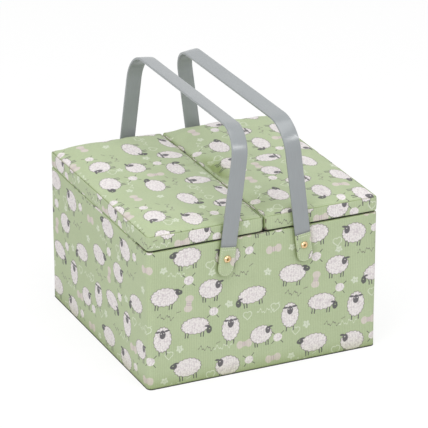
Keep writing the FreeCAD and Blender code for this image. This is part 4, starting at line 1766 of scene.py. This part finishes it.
def make_pincushion():
    low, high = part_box("pincushion")
    plan = ((low.x + 0.8 * mm, low.y + 0.8 * mm), (high.x - 0.8 * mm, high.y - 0.8 * mm), (9 * mm,) * 4)
    seam = high.z - cushion_seam
    wall = [(5 * mm, high.z - 0.9 * mm), (1.6 * mm, high.z - 1.8 * mm), (0.0, seam),
            (1.2 * mm, seam - 1.4 * mm), (4.4 * mm, seam - 3.2 * mm)]
    vertices = [(point.x, point.y, z) for inset, z in wall
                for point in plan_ring(plan, inset, 5, cushion_steps)]
    around = len(vertices) // len(wall)
    faces = ring_faces(len(wall), around)
    centre = Vector(((plan[0][0] + plan[1][0]) / 2, (plan[0][1] + plan[1][1]) / 2))
    for level, dish in ((0, 0.0), (len(wall) - 1, cushion_dish)):
        z = wall[level][1]
        ring = list(range(level * around, (level + 1) * around))
        edge = [vertices[v] for v in ring]
        for share in (0.8, 0.6, 0.4, 0.2):
            inner = list(range(len(vertices), len(vertices) + around))
            for x, y, _ in edge:
                vertices.append((centre.x + (x - centre.x) * share, centre.y + (y - centre.y) * share,
                                 z - dish * (1 - share * share)))
            for j in range(around):
                k = (j + 1) % around
                faces.append((ring[j], ring[k], inner[k], inner[j]))
            ring = inner
        faces.append(tuple(ring))
    cushion = add_piece("pincushion_pillow", vertices, faces, None, felt, None)
    face_outward(cushion)
    pinned = pin_group(cushion, lambda co: co.z > high.z - 1.2 * mm)
    puff(cushion, pinned, cushion_pressure, lambda place: cushion_limit, cushion_frames, spare_felt)
    soften(cushion)
    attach(cushion, "left_lid")
    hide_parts("pincushion")
    print(cushion.name, "is", [round(size / mm, 1) for size in cushion.dimensions], "mm")


felt = make_felt("pincushion felt", linear(206, 160, 164), linear(222, 182, 184))
make_pincushion()

# %% [markdown]
# ## Lid pocket
# The pocket under the right lid is a panel of the lining cotton, cut wider than its place and drawn
# up by an elastic along its mouth. The gathers start at the elastic and fade towards the sewn edge.
# The wave of the gathers is a sum of two sines, so no two of them are quite alike.

# %% Pocket
pocket_columns, pocket_rows = 26, 200
hem_rows, hem_around = 260, 12
hem_half_width, hem_half_height = 3.8 * mm, 0.75 * mm


def gather(y, strength):
    """The gathers' wave along the elastic."""
    wave = math.sin(y / (1.55 * mm)) + 0.5 * math.sin(y / (2.3 * mm) + 1.3)
    return wave * strength


def make_pocket():
    low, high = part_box("lid_pocket_panel")
    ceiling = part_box("lid_pocket_gusset")[1].z - 1.0 * mm
    vertices = []
    for j in range(pocket_rows + 1):
        y_share = j / pocket_rows
        y = low.y + (high.y - low.y) * y_share
        ends = min(1.0, 6 * y_share, 6 * (1 - y_share))
        for i in range(pocket_columns + 1):
            x_share = i / pocket_columns
            x = low.x + 1.0 * mm + (high.x - low.x - 2.0 * mm) * x_share
            far = min(1.0, 4.5 * (1 - x_share))
            drop = (ceiling - low.z - 1.2 * mm) * math.sin(ends * math.pi / 2) * math.sin(far * math.pi / 2)
            gathers = gather(y, 0.75 * mm) * math.exp(-2.2 * x_share) * min(1.0, ends + 0.15)
            soft = ripple((x, y, 2.0), 0.03, 0.8 * mm) * ends * far
            vertices.append((x, y, ceiling - max(0.2 * mm, drop + gathers * ends + soft)))
    faces = [(a, d, c, b) for a, b, c, d in grid_faces(0, pocket_columns, pocket_rows)]
    pocket = add_piece("pocket_cloth", vertices, faces, None, cream, None)
    thicken(pocket, 0.5 * mm)
    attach(pocket, "right_lid")
    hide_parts("lid_pocket_panel", "lid_pocket_gusset")
    return pocket, ceiling


def make_pocket_hem(ceiling):
    """The hem over the elastic: a soft tube, gathered with the panel."""
    low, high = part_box("pocket_elastic")
    turns = [2 * math.pi * k / hem_around for k in range(hem_around)]
    vertices = []
    for j in range(hem_rows + 1):
        share = j / hem_rows
        y = low.y + (high.y - low.y) * share
        ends = math.sin(min(1.0, 6 * share, 6 * (1 - share)) * math.pi / 2)
        z = ceiling - 1.0 * mm - (ceiling - low.z - 2.1 * mm) * ends + gather(y, 0.35 * mm) * ends
        x = low.x + 4 * mm + gather(y + 0.004, 0.12 * mm)
        height = hem_half_height * (1 + 0.12 * gather(y, 1.0))
        for turn in turns:
            vertices.append((x + hem_half_width * math.cos(turn), y, z + height * math.sin(turn)))
    faces = ring_faces(hem_rows + 1, hem_around)
    last = len(vertices) - hem_around
    faces += [tuple(reversed(range(hem_around))), tuple(range(last, last + hem_around))]
    hem = add_piece("pocket_hem", vertices, faces, None, elastic, None)
    face_outward(hem)
    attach(hem, "right_lid")
    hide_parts("pocket_elastic")
    return hem


elastic = make_lining_material("elastic hem", linear(232, 230, 224), linear(244, 243, 239), 0.5)
pocket_cloth, pocket_ceiling = make_pocket()
pocket_hem = make_pocket_hem(pocket_ceiling)

# %% [markdown]
# ## Trays
# The trays are moulded in one shot of milky polypropylene: satin, faintly mottled, with soft edges
# that light gets into. Their shape is right as it was drawn, so they keep it and only gain a finish.
# Their dividers are a clearer sheet.

# %% Plastics, steel and board
def make_plastic(name, dark, light, roughness, see_through=0.0):
    material, recipe = new_material(name)
    place = solid_point(recipe)
    flow = recipe.noise(recipe.vec("MULTIPLY", place, (0.02, 0.06, 0.02)), 1.0, 3.0)
    pebble = recipe.noise(place, 1.3, 2.0)
    colour = recipe.mix(recipe.rescale(flow, 0.3, 0.7), dark, light)
    rough = recipe.rescale(flow, 0.3, 0.7, roughness, roughness + 0.08)
    finish_material(recipe, colour, rough, pebble, 0.08 * mm, Subsurface_Weight=0.15,
                    Subsurface_Scale=0.003, Transmission_Weight=see_through)
    return material


def make_metal(name, dark, light, roughness, grain):
    material, recipe = new_material(name)
    place = solid_point(recipe)
    drawn_lines = recipe.noise(recipe.vec("MULTIPLY", place, grain), 1.0, 3.0)
    colour = recipe.mix(drawn_lines, dark, light)
    rough = recipe.rescale(drawn_lines, 0.3, 0.7, roughness, roughness + 0.12)
    finish_material(recipe, colour, rough, drawn_lines, 0.04 * mm, Metallic=1.0)
    return material


def make_board_material():
    material, recipe = new_material("grey board")
    place = solid_point(recipe)
    fibre = recipe.noise(recipe.vec("MULTIPLY", place, (0.4, 0.4, 2.0)), 0.8, 5.0)
    fleck = recipe.noise(place, 1.9, 2.0)
    colour = recipe.mix(fibre, linear(104, 97, 84), linear(134, 126, 112))
    colour = recipe.mix(recipe.rescale(fleck, 0.62, 0.75, 0.0, 0.5), colour, linear(84, 78, 70))
    finish_material(recipe, colour, 0.92, fibre, 0.3 * mm)
    return material


def make_base_material():
    material, recipe = new_material("black base cloth")
    point = box_point(recipe)
    across, along, _ = recipe.split(point)
    weave = recipe.calc("ADD", ribs(recipe, across, 0.7), ribs(recipe, along, 0.7))
    lint = recipe.noise(point, 0.5, 4.0)
    colour = recipe.mix(recipe.rescale(lint, 0.4, 0.75), linear(38, 38, 40), linear(62, 62, 64))
    finish_material(recipe, colour, 0.85, weave, 0.15 * mm, Sheen_Weight=0.2)
    return material


finishes = {
    "printed_cotton": cotton,
    "lining_cotton": cream,
    "grey_sleeve": sleeve_grey,
    "copper_rivet": copper,
    "covering_board": make_board_material(),
    "base_cloth": make_base_material(),
    "pincushion_cloth": felt,
    "white_elastic": elastic,
    "tray_plastic": make_plastic("tray plastic", linear(226, 228, 226), linear(236, 238, 236), 0.34),
    "divider_plastic": make_plastic("divider plastic", linear(214, 220, 220), linear(226, 232, 232),
                                    0.22, 0.35),
    "spring_steel": make_metal("spring steel", linear(120, 124, 130), linear(156, 160, 165), 0.3,
                               (0.2, 0.2, 3.0)),
    "plated_steel": make_metal("plated steel", linear(176, 178, 180), linear(206, 207, 208), 0.24,
                               (1.0, 1.0, 1.0)),
    "spacer_plastic": make_plastic("spacer plastic", linear(200, 203, 200), linear(216, 218, 215), 0.4),
}
for node_name, node in nodes.items():
    slot_name = node.data.materials[0].name.split(".")[0]
    for material_slot in node.material_slots:
        material_slot.link = "OBJECT"
        material_slot.material = finishes[slot_name]
print("finished", len(nodes), "model nodes in", len(finishes), "finishes")
